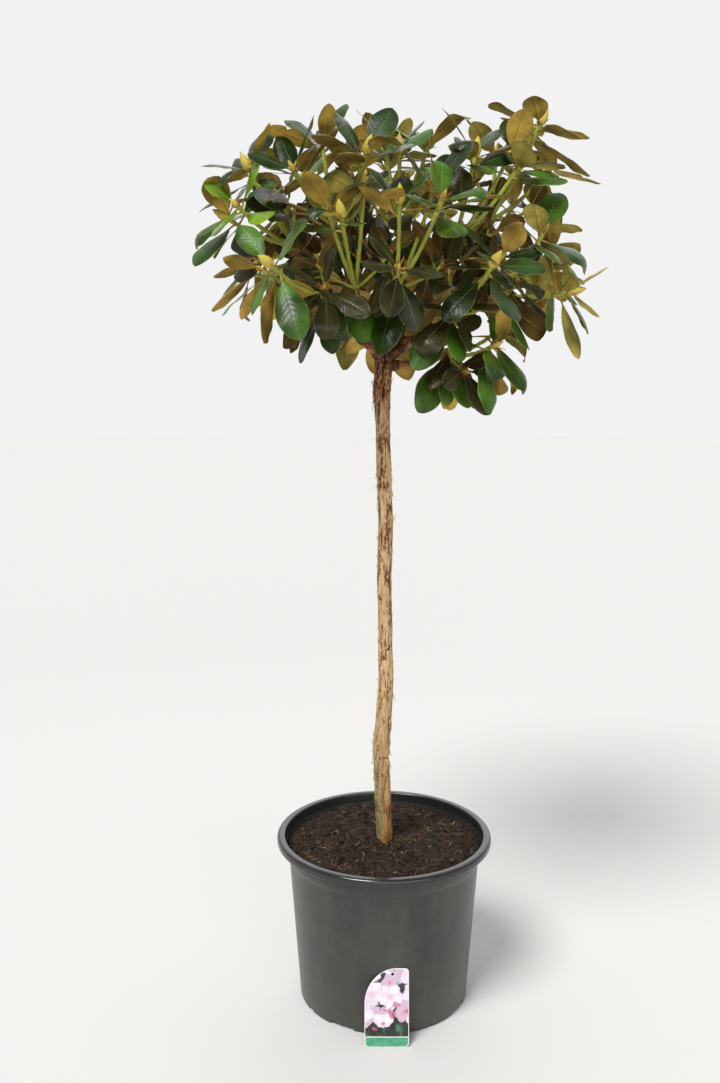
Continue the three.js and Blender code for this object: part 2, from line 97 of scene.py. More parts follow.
# One row for each bough and its mass: start height; bough azimuth, rise, length; axis azimuth, rise;
# shoots, spread, length, turn, droop, seed. Fits and searches outside this script made the rows, apart from
# the number of shoots and three of the boughs' numbers.
Mass = namedtuple("Mass", "start bough axis shoots spread length turn droop seed")
MASSES = {
    "front": Mass(1070, (279, 36, 99), (306, 60), 3, 15, 131, 65, -0.45, 76),
    "front_left": Mass(1054, (240, 42, 108), (247, 69), 3, 17, 126, 82, -0.45, 92),
    "left_low": Mass(1036, (230, 35, 140), (194, 9), 2, 32, 111, 92, 1.1, 18),
    "left": Mass(1064, (193, 44, 178), (197, 30), 3, 23, 115, 7, 0, 74),
    "top_left": Mass(1078, (199, 60, 146), (245, 63), 3, 30, 133, 144, -0.4, 96),
    "top": Mass(1064, (51, 77, 152), (11, 88), 3, 20, 131, 166, -0.3, 79),
    "top_right": Mass(1080, (344, 49, 145), (353, 59), 3, 17, 141, 21, -0.45, 38),
    "right_top": Mass(1060, (9, 48, 224), (35, 52), 3, 26, 144, 53, 0.65, 78),
    "right": Mass(1050, (351, 26, 172), (11, 19), 3, 33, 117, 18, 0.3, 5),
    "front_right": Mass(1038, (318, 26, 125), (324, 39), 2, 15, 101, 293, 0.8, 94),
    "right_low": Mass(1024, (328, 9, 97), (355, 12), 2, 26, 84, 95, 0.9, 71),
    "back_right": Mass(1044, (43, 36, 183), (31, 23), 3, 31, 122, 36, 0.7, 41),
    "back": Mass(1060, (87, 42, 167), (92, 50), 3, 23, 139, 232, -0.2, 18),
    "back_left": Mass(1052, (138, 38, 163), (148, 28), 3, 42, 119, 331, 0.6, 4),
    "back_low": Mass(1032, (84, 27, 119), (85, 11), 2, 30, 109, 83, 1.1, 30),
    "back_top": Mass(1070, (126, 58, 173), (136, 40), 3, 32, 123, 302, -0.1, 92),
}

# ---------------------------------------------------------------- vectors, all in millimetres

UP = np.array((0.0, 0.0, 1.0))


def seeded(seed):
    """The same repeatable stream of numbers from 0 to 1 that grew the solid masses."""
    modulus = 2147483647
    state = [(seed * 7919) % modulus]

    def following():
        state[0] = (state[0] * 48271) % modulus
        return state[0] / modulus

    following()
    following()
    return following


def unit(vector):
    return vector / np.linalg.norm(vector)


def squared(vector, axis):
    """The unit vector square to an axis that lies nearest to a vector."""
    return unit(vector - axis * vector.dot(axis))


def direction(azimuth, rise):
    """The unit vector at an azimuth and a rise over the level, in degrees."""
    turn, lift = math.radians(azimuth), math.radians(rise)
    return np.array((math.cos(lift) * math.cos(turn), math.cos(lift) * math.sin(turn), math.sin(lift)))


def rotated(vector, axis, degrees):
    turn = math.radians(degrees)
    flat = vector * math.cos(turn) + np.cross(axis, vector) * math.sin(turn)
    return flat + axis * axis.dot(vector) * (1 - math.cos(turn))


def leaning(axis, tilt, turn):
    """The direction tilt degrees off an axis, at a turn round it counted from its upper side."""
    upper = squared(np.array((0.0, 1.0, 0.0)) if abs(axis[2]) > 0.99 else UP, axis)
    side = np.cross(axis, upper)
    lean, turned = math.radians(tilt), math.radians(turn)
    return axis * math.cos(lean) + math.sin(lean) * (upper * math.cos(turned) + side * math.sin(turned))


def lerp(low, high, share):
    return low + (high - low) * share


def smooth(low, high, value):
    """A soft step from 0 at low to 1 at high."""
    share = np.clip((value - low) / (high - low), 0, 1)
    return share * share * (3 - 2 * share)


# ---------------------------------------------------------------- growth rule

def stem_at(height):
    """The trunk's centre and radius at a height."""
    heights = [row[0] for row in STEM]
    x, y, radius = (np.interp(height, heights, [row[i] for row in STEM]) for i in (1, 2, 3))
    return np.array((x, y, height)), radius


def bough_curve(mass):
    """The three control points of a bough's quadratic curve."""
    azimuth, rise, length = mass.bough
    start = stem_at(mass.start)[0]
    bend = start + direction(azimuth, rise * (1 - BOUGH["sweep"])) * length * 0.5
    return start, bend, start + direction(azimuth, rise) * length


def on_curve(curve, share):
    start, bend, end = curve
    share = np.asarray(share, float)[..., None]
    return start * (1 - share) ** 2 + 2 * bend * share * (1 - share) + end * share**2


def grow(mass):
    """A mass as plain data: its stem, its shoots and their leaves, before anything is left out."""
    random = seeded(mass.seed)

    def about(middle, chance):
        return middle * (1 + chance * (2 * random() - 1))

    _, bend, end = bough_curve(mass)
    stem_way = unit(end - bend)
    foot = end + stem_way * GAP
    fork = foot + stem_way * SHOOT["stem"]
    axis = direction(*mass.axis)
    shoots = []
    for i in range(mass.shoots):
        turn = mass.turn + 360 / mass.shoots * i + CHANCE["turn"] * (random() - 0.5)
        way = leaning(axis, about(mass.spread, CHANCE["tilt"]), turn)
        shoots.append(shoot_from(fork, way, about(mass.length, CHANCE["length"])))
    for shoot in shoots:
        shoot["leaves"] = whorl(shoot, mass.droop, random)
    old = []
    for k in range(OLD_LEAVES["count"]):
        way = leaning(axis, OLD_LEAVES["pitch"], mass.turn + k * GOLDEN_TURN)
        length = about(LEAF["length"] * OLD_LEAVES["share"], LEAF["jitter"])
        old.append(grow_leaf(fork, way, axis, length, OLD_LEAVES["droop"], random))
    return {"mass": mass, "foot": foot, "fork": fork, "axis": axis, "shoots": shoots, "old": old}


def shoot_from(fork, way, length):
    """A shoot that sets out from a fork and turns up a little halfway."""
    middle = fork + way * length / 2
    heading = unit(way + UP * SHOOT["lift"])
    return {"root": fork, "middle": middle, "tip": middle + heading * length / 2, "heading": heading}


def whorl(shoot, droop, random, fewest=WHORL["fewest"], share=1.0):
    """Leaves round a shoot's bud, each set back further, leaning further out and hanging lower."""
    count = fewest + math.floor(3 * random())
    phase = 360 * random()
    leaves = []
    for k in range(count):
        age = k / (count - 1)
        pitch = lerp(WHORL["young"], WHORL["old"], age) + WHORL["jitter"] * (2 * random() - 1)
        way = leaning(shoot["heading"], pitch, phase + k * GOLDEN_TURN)
        middling = share * LEAF["length"] * lerp(LEAF["young"], 1, age)
        length = middling * (1 + LEAF["jitter"] * (2 * random() - 1))
        root = shoot["tip"] - shoot["heading"] * age * WHORL["span"]
        leaves.append(grow_leaf(root, way, shoot["heading"], length, droop * age, random))
    return leaves


def grow_leaf(root, out, shoot_way, length, droop, random):
    """A leaf hangs a little below the way it sets out, its upper face towards its shoot's heading and up."""
    way = unit(out - UP * droop)
    width = length * lerp(LEAF["slimmest"], LEAF["widest"], random())
    roll = WHORL["roll"] * (2 * random() - 1)
    face = rotated(squared(shoot_way + UP * 0.7, way), way, roll)
    arch = 0.04 + 0.08 * random()
    return {"root": root, "way": way, "face": face, "length": length, "width": width, "arch": arch}


# ---------------------------------------------------------------- keeping leaves clear of each other

# Sides and stations of the plain limbs that leaves keep clear of, as in the solids.
PLAIN = {"stem_sides": 10, "bough_sides": 5, "bough_stations": 5, "bough_from": 0.12, "shoot_sides": 3}
# Other ways for a leaf that would touch something: pitch, roll and size.
RETRIES = (
    (0, 0, 1), (22, 0, 1), (-22, 0, 1), (0, 35, 1), (0, -35, 1),
    (0, 0, 0.75), (30, 0, 0.75), (-30, 0, 0.75),
)
# Faces between a leaf's ten corners: both sides of its blade, and its root.
BLADE_FACES = (
    (2, 4, 5), (2, 5, 3), (4, 6, 7), (4, 7, 5), (6, 8, 7), (2, 9, 4),
    (4, 9, 6), (6, 9, 8), (8, 9, 7), (7, 9, 5), (5, 9, 3), (3, 9, 2),
)
LEAF_FACES = BLADE_FACES[:-1] + ((0, 9, 2), (3, 9, 0), (0, 2, 1), (0, 1, 3), (1, 2, 3))


def leaf_corners(leaf):
    """The root, neck, margins, tip and crest of a leaf's plain solid."""
    length, width, arch = leaf["length"], leaf["width"], leaf["arch"]
    side = np.cross(leaf["face"], leaf["way"])
    crest = 1.4 + 0.05 * arch * length
    low, high = 0.4 * width, 0.45 * width
    spots = (
        (1 / length, 0, 1.2), (1 / length, 0, -1.2), (NECK, 1.5, 0), (NECK, -1.5, 0), (0.36, low, 0),
        (0.36, -low, 0), (0.76, high, 0), (0.76, -high, 0), (1, 0, 0), (0.55, 0, crest),
    )
    return [
        leaf["root"] + leaf["way"] * share * length + side * across
        + leaf["face"] * (lift - arch * length * share**2)
        for share, across, lift in spots
    ]


def varied(leaf, pitch, roll, size):
    """A leaf pitched and rolled by so many degrees, and resized."""
    side = np.cross(leaf["face"], leaf["way"])
    way = rotated(leaf["way"], side, -pitch)
    face = rotated(rotated(leaf["face"], side, -pitch), way, roll)
    return {**leaf, "way": way, "face": face, "length": leaf["length"] * size, "width": leaf["width"] * size}


class Shape:
    """A closed triangle shape that can tell whether it meets another."""

    def __init__(self, points, faces):
        points = np.array(points)
        self.low, self.high = points.min(0), points.max(0)
        self.tree = BVHTree.FromPolygons([tuple(point) for point in points], faces)

    def meets(self, other):
        if (self.low > other.high).any() or (other.low > self.high).any():
            return False
        return bool(self.tree.overlap(other.tree))

    def is_clear_of(self, others):
        return not any(self.meets(other) for other in others)


def limb_shape(points, radii, sides):
    """The plain solid of a limb, to keep leaves clear of."""
    rings = tube_rings(np.array(points), np.array(radii, float), sides)
    count = len(rings)
    faces = [
        (i * sides + j, i * sides + (j + 1) % sides, (i + 1) * sides + (j + 1) % sides, (i + 1) * sides + j)
        for i in range(count - 1)
        for j in range(sides)
    ]
    return Shape(rings.reshape(-1, 3), faces)


def tube_rings(points, radii, sides):
    """The rings of points round a limb, with axes that turn as little as they can."""
    ways = np.gradient(points, axis=0)
    ways /= np.linalg.norm(ways, axis=1)[:, None]
    across = squared(np.array((1.0, 0.0, 0.0)) if abs(ways[0][2]) > 0.9 else UP, ways[0])
    turns = np.arange(sides) * 2 * math.pi / sides
    rings = []
    for point, way, radius in zip(points, ways, radii):
        across = squared(across, way)
        beside = np.cross(way, across)
        ring = np.cos(turns)[:, None] * across + np.sin(turns)[:, None] * beside
        rings.append(point + ring * radius)
    return np.array(rings)


def places_of(grown):
    """The spots that mark a mass's space: its fork, and the middle and the tip of each shoot."""
    return [grown["fork"]] + [shoot[spot] for shoot in grown["shoots"] for spot in ("middle", "tip")]


def keeps_to_space(points, own, others):
    """Whether no point lies further past the halfway line to another mass's places than it may."""

    def nearest(places):
        return np.linalg.norm(points[:, None] - places[None], axis=2).min(1)

    return bool((nearest(own) < nearest(others) + OVERREACH).all())


def placed_leaf(leaf, own, others, blades, twigs, taken):
    """The first way of a leaf that keeps to its space and touches nothing, with its shapes, or None."""
    for change in RETRIES:
        tried = varied(leaf, *change)
        corners = np.array(leaf_corners(tried))
        if not keeps_to_space(corners, own, others):
            continue
        blade = Shape(corners, BLADE_FACES)
        if blade.is_clear_of(blades) and blade.is_clear_of(twigs):
            whole = Shape(corners, LEAF_FACES)
            if whole.is_clear_of(taken):
                return tried, blade, whole
    return None


# The inner shoots of each mass, next to its long ones.
INNER = {
    "shoots": 3, "more_spread": 38, "length": 0.5, "thick": 0.72, "fewest": 5, "leaf": 0.82, "droop": 0.9,
    "seed": 700,
}


def inner_shoots(grown, index):
    """Short finer shoots from a mass's fork that fill the space under its long ones."""
    mass = grown["mass"]
    random = seeded(INNER["seed"] + index)
    shoots = []
    for i in range(INNER["shoots"]):
        turn = mass.turn + 360 / INNER["shoots"] * (i + 0.5) + CHANCE["turn"] * (random() - 0.5)
        way = leaning(grown["axis"], mass.spread + INNER["more_spread"], turn)
        shoot = shoot_from(grown["fork"], way, mass.length * INNER["length"] * (0.8 + 0.4 * random()))
        shoot["leaves"] = whorl(shoot, INNER["droop"], random, INNER["fewest"], INNER["leaf"])
        shoots.append(shoot)
    return shoots


def grow_crown():
    """Every shoot of the crown with the leaves that it keeps, and the old leaves at the forks."""
    all_grown = [grow(mass) for mass in MASSES.values()]
    centres = [row[1:3] + row[:1] for row in STEM]
    taken = [limb_shape(centres, [row[3] for row in STEM], PLAIN["stem_sides"])]
    stations = PLAIN["bough_stations"]
    for mass in MASSES.values():
        points = on_curve(bough_curve(mass), np.linspace(PLAIN["bough_from"], 1, stations))
        radii = np.linspace(BOUGH["base"], BOUGH["tip"], stations)
        taken.append(limb_shape(points, radii, PLAIN["bough_sides"]))
    crown = []
    spaces = []
    for grown in all_grown:
        own = np.array(places_of(grown))
        others = np.array([place for other in all_grown if other is not grown for place in places_of(other)])
        twigs = [shoot_shape(shoot) for shoot in grown["shoots"]]
        blades, wholes = [], []
        sprays = [(shoot, shoot["leaves"]) for shoot in grown["shoots"]] + [(None, grown["old"])]
        for shoot, leaves in sprays:
            kept = []
            for leaf in leaves:
                found = placed_leaf(leaf, own, others, blades, twigs, taken)
                if found:
                    kept.append(found[0])
                    blades.append(found[1])
                    wholes.append(found[2])
            crown.append({"grown": grown, "shoot": shoot, "leaves": kept, "inner": False})
        taken += wholes + twigs
        spaces.append((own, others))
    for index, (grown, (own, others)) in enumerate(zip(all_grown, spaces)):
        for shoot in inner_shoots(grown, index):
            kept = []
            for leaf in shoot["leaves"]:
                found = placed_leaf(leaf, own, others, [], [], taken)
                if found:
                    kept.append(found[0])
                    taken.append(found[1])
            if kept:
                crown.append({"grown": grown, "shoot": shoot, "leaves": kept, "inner": True})
    return all_grown, crown


def shoot_shape(shoot):
    radius, tip = SHOOT["radius"], SHOOT["tip_radius"]
    points = [shoot["root"], shoot["middle"], shoot["tip"]]
    return limb_shape(points, [radius, radius, tip], PLAIN["shoot_sides"])


# ---------------------------------------------------------------- meshes from arrays

def mesh_from_faces(name, points, faces, slots=None, uv=None, sharp=None, smooth_shade=True):
    """A mesh of like faces from arrays in millimetres, shaded sharp past an angle in degrees."""
    mesh = bpy.data.meshes.new(name)
    mesh.vertices.add(len(points))
    mesh.vertices.foreach_set("co", (np.asarray(points) * MM).astype(np.float32).ravel())
    mesh.loops.add(faces.size)
    mesh.loops.foreach_set("vertex_index", faces.astype(np.int32).ravel())
    mesh.polygons.add(len(faces))
    mesh.polygons.foreach_set("loop_start", np.arange(0, faces.size, faces.shape[1], dtype=np.int32))
    if slots is not None:
        mesh.polygons.foreach_set("material_index", slots.astype(np.int32))
    mesh.update(calc_edges=True)
    if uv is not None:
        layer = mesh.uv_layers.new(name="surface")
        layer.data.foreach_set("uv", uv[faces.ravel()].astype(np.float32).ravel())
    mesh.polygons.foreach_set("use_smooth", np.full(len(faces), smooth_shade))
    if sharp:
        mesh.set_sharp_from_angle(angle=math.radians(sharp))
    return mesh


def tube_arrays(points, radii, sides):
    """Rings of quads along a limb, with both ends closed by quads across, as (points, quads)."""
    rings = tube_rings(points, radii, sides)
    count = len(rings)
    ring, side = np.meshgrid(np.arange(count - 1), np.arange(sides), indexing="ij")
    following = (side + 1) % sides
    walls = np.stack((ring * sides + side, ring * sides + following, (ring + 1) * sides + following,
                      (ring + 1) * sides + side), -1).reshape(-1, 4)
    half = sides // 2
    near = np.array([(j, sides - 1 - j, sides - 2 - j, j + 1) for j in range(half - 1)])
    far = near[:, ::-1] + (count - 1) * sides
    return rings.reshape(-1, 3), np.concatenate((walls, near, far))


def joined(parts):
    """Several (points, quads) as one."""
    points, quads, start = [], [], 0
    for part_points, part_quads in parts:
        points.append(part_points)
        quads.append(part_quads + start)
        start += len(part_points)
    return np.concatenate(points), np.concatenate(quads)


def bezier(points, count):
    """A smooth line of count points that starts, passes and ends at three points."""
    start, middle, end = (np.asarray(point, float) for point in points)
    bend = 2 * middle - (start + end) / 2
    return on_curve((start, bend, end), np.linspace(0, 1, count))


# Places across a blade, as shares of its half width; the middle three carry its rib.
ACROSS = np.array((-1, -0.84, -0.58, -0.3, -0.1, 0, 0.1, 0.3, 0.58, 0.84, 1))
EVENNESS = 0.55  # how evenly a blade's stations are spaced; at 0 they crowd towards its ends
# The rib: half its width, the most of the blade that it takes, the place of its sides, how deep they are
# beside its middle, and how deep its groove on top is.
RIB = {"half": 0.9, "most": 0.2, "place": 0.1, "flank": 0.35, "groove": 0.4}
# The margin: how fast it waves, in radians a length, how far its two sides are out of step, and how much
# thinner it is than the middle.
MARGIN = {"waves": 19, "offset": 1.3, "thinner": 0.65}
BITE = {"from": 0.5, "depth": 0.45, "length": 0.035}
CURL = {"from": 0.66, "turn": 1.7}
STALK = {"flare": 1.25, "taper": 1.9, "until": 0.2}
OFF_THE_LEAF = -9.0


def leaf_outline(share):
    """The half width of a leaf at each share of its blade, widest a little past the middle."""
    return 1.05 * np.sin(math.pi * np.clip(share, 0, 1) ** 1.28) ** (0.66 - 0.06 * share)


def scale_outline(share):
    """The half width of a bud scale: broad and clasping below, drawn out to a point."""
    return np.clip(share / 0.12, 0, 1) ** 0.5 * (1 - share**2.2) ** 0.9


LEAF_FORM = {"stations": 21, "neck": NECK, "outline": leaf_outline, "thick": 0.55, "rib": 1.0, "stalk": 1.35}
SCALE_FORM = {"stations": 8, "neck": 0, "outline": scale_outline, "thick": 0.7, "rib": 0, "stalk": 0}


def column(blades, key, default=0.0):
    """One number of every blade, in a row of its own for each."""
    return np.array([blade.get(key, default) for blade in blades], float)[:, None]


def blade_line(blades, share):
    """The line along the middle of each blade, and the ways beside and above it, at every station.

    The line turns down by the blade's arch and its curl, and the blade turns about it by its twist.
    """
    root, way, face = (np.array([blade[key] for blade in blades])[:, None] for key in ("root", "way", "face"))
    side = np.cross(face, way)
    fall = np.arctan(2 * column(blades, "arch") * share)
    fall = fall + column(blades, "curl") * smooth(CURL["from"], 1, share) * CURL["turn"]
    step = np.diff(share, axis=1, prepend=0) * column(blades, "length")
    ahead = np.cumsum(np.cos(fall) * step, axis=1)[..., None]
    down = np.cumsum(np.sin(fall) * step, axis=1)[..., None]
    line = root + way * ahead - face * down
    fallen = fall[..., None]
    above = face * np.cos(fallen) + way * np.sin(fallen)
    twist = (column(blades, "twist") * share)[..., None]
    beside = side * np.cos(twist) + above * np.sin(twist)
    above = above * np.cos(twist) - side * np.sin(twist)
    return line, beside, above


def blade_rings(blades, form, share):
    """How far the points of each blade's rings lie beside and above its line: its top, then its underside.

    The blade is hollow by its cup, its margin waves and may be bitten, and a rib runs under its middle.
    Where the form has a stalk, the first rings are round.
    """
    x, along = ACROSS[None, None], share[..., None]
    half = form["outline"]((share - form["neck"]) / (1 - form["neck"])) * column(blades, "width") / 2
    half = np.maximum(half, 0.02)[..., None]
    on_rib = np.abs(x) <= RIB["place"]
    rib = np.minimum(RIB["half"] * (1.15 - along), half * RIB["most"])
    reach = np.where(on_rib, np.sign(x) * rib, x * half)
    bite = np.exp(-(((share - column(blades, "bite", OFF_THE_LEAF)) / BITE["length"]) ** 2))[..., None]
    reach = reach * np.where(x > BITE["from"], 1 - BITE["depth"] * bite, 1)
    ease = smooth(form["neck"] * 0.75, form["neck"] * 1.6 + 0.05, share)[..., None]
    cup = column(blades, "cup")[..., None] * half * np.abs(x) ** 2
    phase = along * MARGIN["waves"] + column(blades, "phase")[..., None] + MARGIN["offset"] * np.sign(x)
    wave = column(blades, "wave")[..., None] * np.sin(phase)
    height = (-cup + wave * np.abs(x) ** 3) * ease
    thick = form["thick"] * (1 - MARGIN["thinner"] * np.abs(x) ** 3) / 2
    keel = form["rib"] * (1.1 - along) * np.where(x == 0, 1.0, np.where(on_rib, RIB["flank"], 0.0))
    top = height + thick - RIB["groove"] * keel
    bottom = height - thick - keel
    ring_across = np.concatenate((reach, reach[..., ::-1]), -1)
    ring_height = np.concatenate((top, bottom[..., ::-1]), -1)
    if form["stalk"]:
        sides = 2 * len(ACROSS)
        turn = math.pi - (np.arange(sides) + 0.5) / sides * 2 * math.pi
        stalk = form["stalk"] * (STALK["flare"] - STALK["taper"] * along.clip(0, STALK["until"]))
        ring_across = lerp(np.cos(turn) * stalk, ring_across, ease)
        ring_height = lerp(np.sin(turn) * stalk, ring_height, ease)
    return ring_across, ring_height


def blade_quads(form, share):
    """The quads of one blade and their slots: 0 above, 1 below, and 2 on its stalk, its rib and its ends."""
    stations, columns = form["stations"], len(ACROSS)
    sides = 2 * columns
    station, spot = np.meshgrid(np.arange(stations - 1), np.arange(sides), indexing="ij")
    after = (spot + 1) % sides
    walls = np.stack((station * sides + spot, (station + 1) * sides + spot, (station + 1) * sides + after,
                      station * sides + after), -1).reshape(-1, 4)
    near = np.array([(j, j + 1, sides - 2 - j, sides - 1 - j) for j in range(columns - 1)])
    far = near[:, ::-1] + (stations - 1) * sides
    on_top = spot < columns - 1
    by_rib = ~on_top & np.isin(spot % columns, (columns // 2 - 1, columns // 2))
    slots = np.where(on_top, 0, 1)
    slots = np.where(by_rib | (share[station] < form["neck"] * 0.9), 2, slots).reshape(-1)
    ends = np.full(len(near) + len(far), 2)
    return np.concatenate((walls, near, far)), np.concatenate((slots, ends))


def blade_arrays(blades, form):
    """Closed blades of quads for a list of leaves or scales, as (points, quads, slots, uv)."""
    stations = form["stations"]
    share = (1 - np.cos(np.linspace(0, math.pi, stations))) / 2
    share = lerp(share, np.linspace(0, 1, stations), EVENNESS)[None]
    line, beside, above = blade_line(blades, share)
    ring_across, ring_height = blade_rings(blades, form, share)
    points = line[:, :, None] + beside[:, :, None] * ring_across[..., None]
    points += above[:, :, None] * ring_height[..., None]
    quads, slots = blade_quads(form, share[0])
    ring_uv = np.concatenate((ACROSS, ACROSS[::-1])) / 2 + 0.5
    uv = np.stack(np.broadcast_arrays(ring_uv[None], share[0][:, None]), -1).reshape(-1, 2)
    starts = (np.arange(len(blades)) * len(uv))[:, None, None]
    quads = (quads[None] + starts).reshape(-1, 4)
    return points.reshape(-1, 3), quads, np.tile(slots, len(blades)), np.tile(uv, (len(blades), 1))


# ---------------------------------------------------------------- materials

def tint(red, green, blue):
    """A linear colour from its 0 to 255 screen values."""
    return tuple((value / 255 / 12.92 if value <= 10 else ((value / 255 + 0.055) / 1.055) ** 2.4)
                 for value in (red, green, blue))


def darker(base, share):
    """A colour taken down, or with a share over 1 brought up, by a share."""
    return tuple(min(value * share, 1) for value in base)


def mixed(first, second, share):
    return tuple(lerp(a, b, share) for a, b in zip(first, second))


def lighter(base, share):
    """A colour taken part of the way to a pale yellowish green."""
    return mixed(base, (0.75, 0.8, 0.5), share)


class Field:
    """A node's output, on which arithmetic adds Math nodes."""

    def __init__(self, finish, socket):
        self.finish, self.socket = finish, socket

    def maths(self, operation, first, second):
        return self.finish.node("ShaderNodeMath", {"operation": operation}, {0: first, 1: second})

    def __add__(self, other):
        return self.maths("ADD", self, other)

    def __sub__(self, other):
        return self.maths("SUBTRACT", self, other)

    def __mul__(self, other):
        return self.maths("MULTIPLY", self, other)

    def __pow__(self, other):
        return self.maths("POWER", self, other)

    def __radd__(self, other):
        return self.maths("ADD", other, self)

    def __rsub__(self, other):
        return self.maths("SUBTRACT", other, self)

    def __rmul__(self, other):
        return self.maths("MULTIPLY", other, self)


class Finish:
    """A material made one node at a time round a Principled shader."""

    def __init__(self, name, roughness=0.5, **constants):
        self.material = bpy.data.materials.new(name)
        self.material.use_nodes = True
        self.tree = self.material.node_tree
        self.shader = self.tree.nodes["Principled BSDF"]
        self.set(Roughness=roughness, **{key.replace("_", " "): value for key, value in constants.items()})

    def set(self, **values):
        for key, value in values.items():
            self.join(value, self.shader.inputs[key.replace("_", " ")])

    def join(self, value, socket):
        if isinstance(value, Field):
            self.tree.links.new(value.socket, socket)
        elif hasattr(value, "__len__") and socket.type == "RGBA":
            socket.default_value = (*value[:3], 1)
        else:
            socket.default_value = value

    def node(self, kind, settings=None, inputs=None, output=0):
        """Adds a node: its settings, a ramp's stops among them, then the values or links of its sockets."""
        node = self.tree.nodes.new(kind)
        for key, value in (settings or {}).items():
            if key == "stops":
                self.set_stops(node.color_ramp, value)
            else:
                setattr(node, key, value)
        for key, value in (inputs or {}).items():
            self.join(value, node.inputs[key])
        return Field(self, node.outputs[output])

    @staticmethod
    def set_stops(ramp, stops):
        for spare in list(ramp.elements)[len(stops):]:
            ramp.elements.remove(spare)
        for index, (place, colour) in enumerate(stops):
            element = ramp.elements[index] if index < len(ramp.elements) else ramp.elements.new(place)
            element.position = place
            element.color = (*colour[:3], 1) if hasattr(colour, "__len__") else (colour, colour, colour, 1)

    def place(self, scale=(1, 1, 1), source="Object"):
        spot = self.node("ShaderNodeTexCoord", output=source)
        return self.node("ShaderNodeMapping", {}, {"Vector": spot, "Scale": scale})

    def parts(self, vector):
        """The three parts of a vector."""
        split = self.node("ShaderNodeSeparateXYZ", {}, {0: vector}).socket.node
        return [Field(self, socket) for socket in split.outputs]

    def side(self):
        return self.parts(self.place())[0]

    def height(self):
        return self.parts(self.place())[2]

    def noise(self, scale, detail=3.0, roughness=0.55, stretch=(1, 1, 1), source="Object"):
        return self.node("ShaderNodeTexNoise", {},
                         {"Vector": self.place(stretch, source), "Scale": scale, "Detail": detail,
                          "Roughness": roughness})

    def ramp(self, value, *stops):
        return self.node("ShaderNodeValToRGB", {"stops": stops}, {"Fac": value})

    def mix(self, factor, first, second):
        settings = {"data_type": "RGBA"}
        return self.node("ShaderNodeMix", settings, {0: factor, 6: first, 7: second}, output=2)

    def limit(self, value, low, high):
        """The value's place between low and high, from 0 to 1."""
        return self.node("ShaderNodeMapRange", {}, {"Value": value, "From Min": low, "From Max": high})

    def bump(self, height, distance, strength=1.0):
        self.set(Normal=self.node("ShaderNodeBump", {},
                                  {"Height": height, "Distance": distance * MM, "Strength": strength}))
        return self


def add_piece(name, mesh, materials, replaced=()):
    """A finished piece of the plant or its pot, riding with the body and standing for its solid parts."""
    piece = bpy.data.objects.new(name, mesh)
    bpy.context.scene.collection.objects.link(piece)
    for material in materials:
        mesh.materials.append(material)
    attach(piece, "root")
    if replaced:
        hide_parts(*replaced)
    return piece


def mesh_from(bm, name, smooth_shade=True, sharp=None):
    """A mesh from a bmesh in millimetres, which is used up."""
    bm.verts.ensure_lookup_table()
    bmesh.ops.scale(bm, vec=(MM, MM, MM), verts=bm.verts)
    mesh = bpy.data.meshes.new(name)
    bm.to_mesh(mesh)
    bm.free()
    mesh.polygons.foreach_set("use_smooth", np.full(len(mesh.polygons), smooth_shade))
    if sharp:
        mesh.set_sharp_from_angle(angle=math.radians(sharp))
    return mesh


# ---------------------------------------------------------------- settings

def colour(name, description, red, green, blue):
    return FloatVectorProperty(name=name, description=description, default=tint(red, green, blue),
                               subtype="COLOR", size=3, min=0, max=1)


class CrownSettings(bpy.types.PropertyGroup):
    deep: colour("Deep green", "Upper side of a grown leaf", 38, 62, 14)
    mid: colour("Mid green", "Upper side of a younger leaf", 64, 98, 24)
    fresh: colour("Fresh green", "Upper side of the newest leaves", 106, 140, 24)
    # Painted shade in part: old green and old felt are darker colours for the leaves inside the crown,
    # standing partly for older leaves and partly for the shade there.
    old: colour("Old green", "Upper side of an old leaf inside the crown", 54, 54, 22)
    tan: colour("Tan felt", "Underside of a leaf with full felt", 194, 160, 74)
    olive: colour("Olive felt", "Underside of a leaf with thin felt", 188, 171, 84)
    # Old felt: partly the duller felt of old leaves, partly painted shade inside the crown.
    shade: colour("Old felt", "Underside of an old leaf inside the crown", 112, 88, 44)
    stalk: colour("Stalk", "Leaf stalks and midribs", 164, 146, 68)
    shoot: colour("Shoot", "Green shoots", 158, 164, 62)
    bud: colour("Bud", "Scales of the flower buds", 204, 182, 78)
    bract: colour("Bract", "Dry scales at the foot of a bud", 160, 104, 52)
    gloss: FloatProperty(name="Leaf roughness", description="Roughness of a leaf's upper side",
                         default=0.22, min=0.1, max=1, subtype="FACTOR")


class WoodSettings(bpy.types.PropertyGroup):
    light: colour("Light bark", "Flakes of the trunk's bark", 197, 164, 121)
    brown: colour("Brown bark", "Bark between the flakes", 138, 102, 70)
    dark: colour("Dark bark", "Fissures, and the bark under the crown", 74, 48, 30)
    relief: FloatProperty(name="Bark relief", description="Height of the bark's plates, in millimetres",
                          default=1.1, min=0, max=3)
    sides: IntProperty(name="Steps round", description="Steps of the bark round the trunk",
                       default=112, min=24, max=200)


class PotSettings(bpy.types.PropertyGroup):
    plastic: colour("Pot", "Colour of the pot's plastic", 39, 40, 39)
    roughness: FloatProperty(name="Pot roughness", description="Roughness of the pot's plastic",
                             default=0.34, min=0.1, max=1, subtype="FACTOR")
    steps: IntProperty(name="Steps round", description="Steps of the pot's turned wall",
                       default=192, min=32, max=360)


class SoilSettings(bpy.types.PropertyGroup):
    dark: colour("Compost", "Damp compost", 46, 36, 29)
    brown: colour("Bark crumb", "Composted bark", 86, 62, 43)
    pale: colour("Fibre", "Straw and wood fibre", 176, 146, 104)
    chip: colour("Bark chip", "Chips of red bark", 112, 66, 46)
    grit: colour("Grit", "White grit", 226, 218, 200)
    crumbs: IntProperty(name="Crumbs", description="Number of loose crumbs", default=3400, min=100, max=6000)


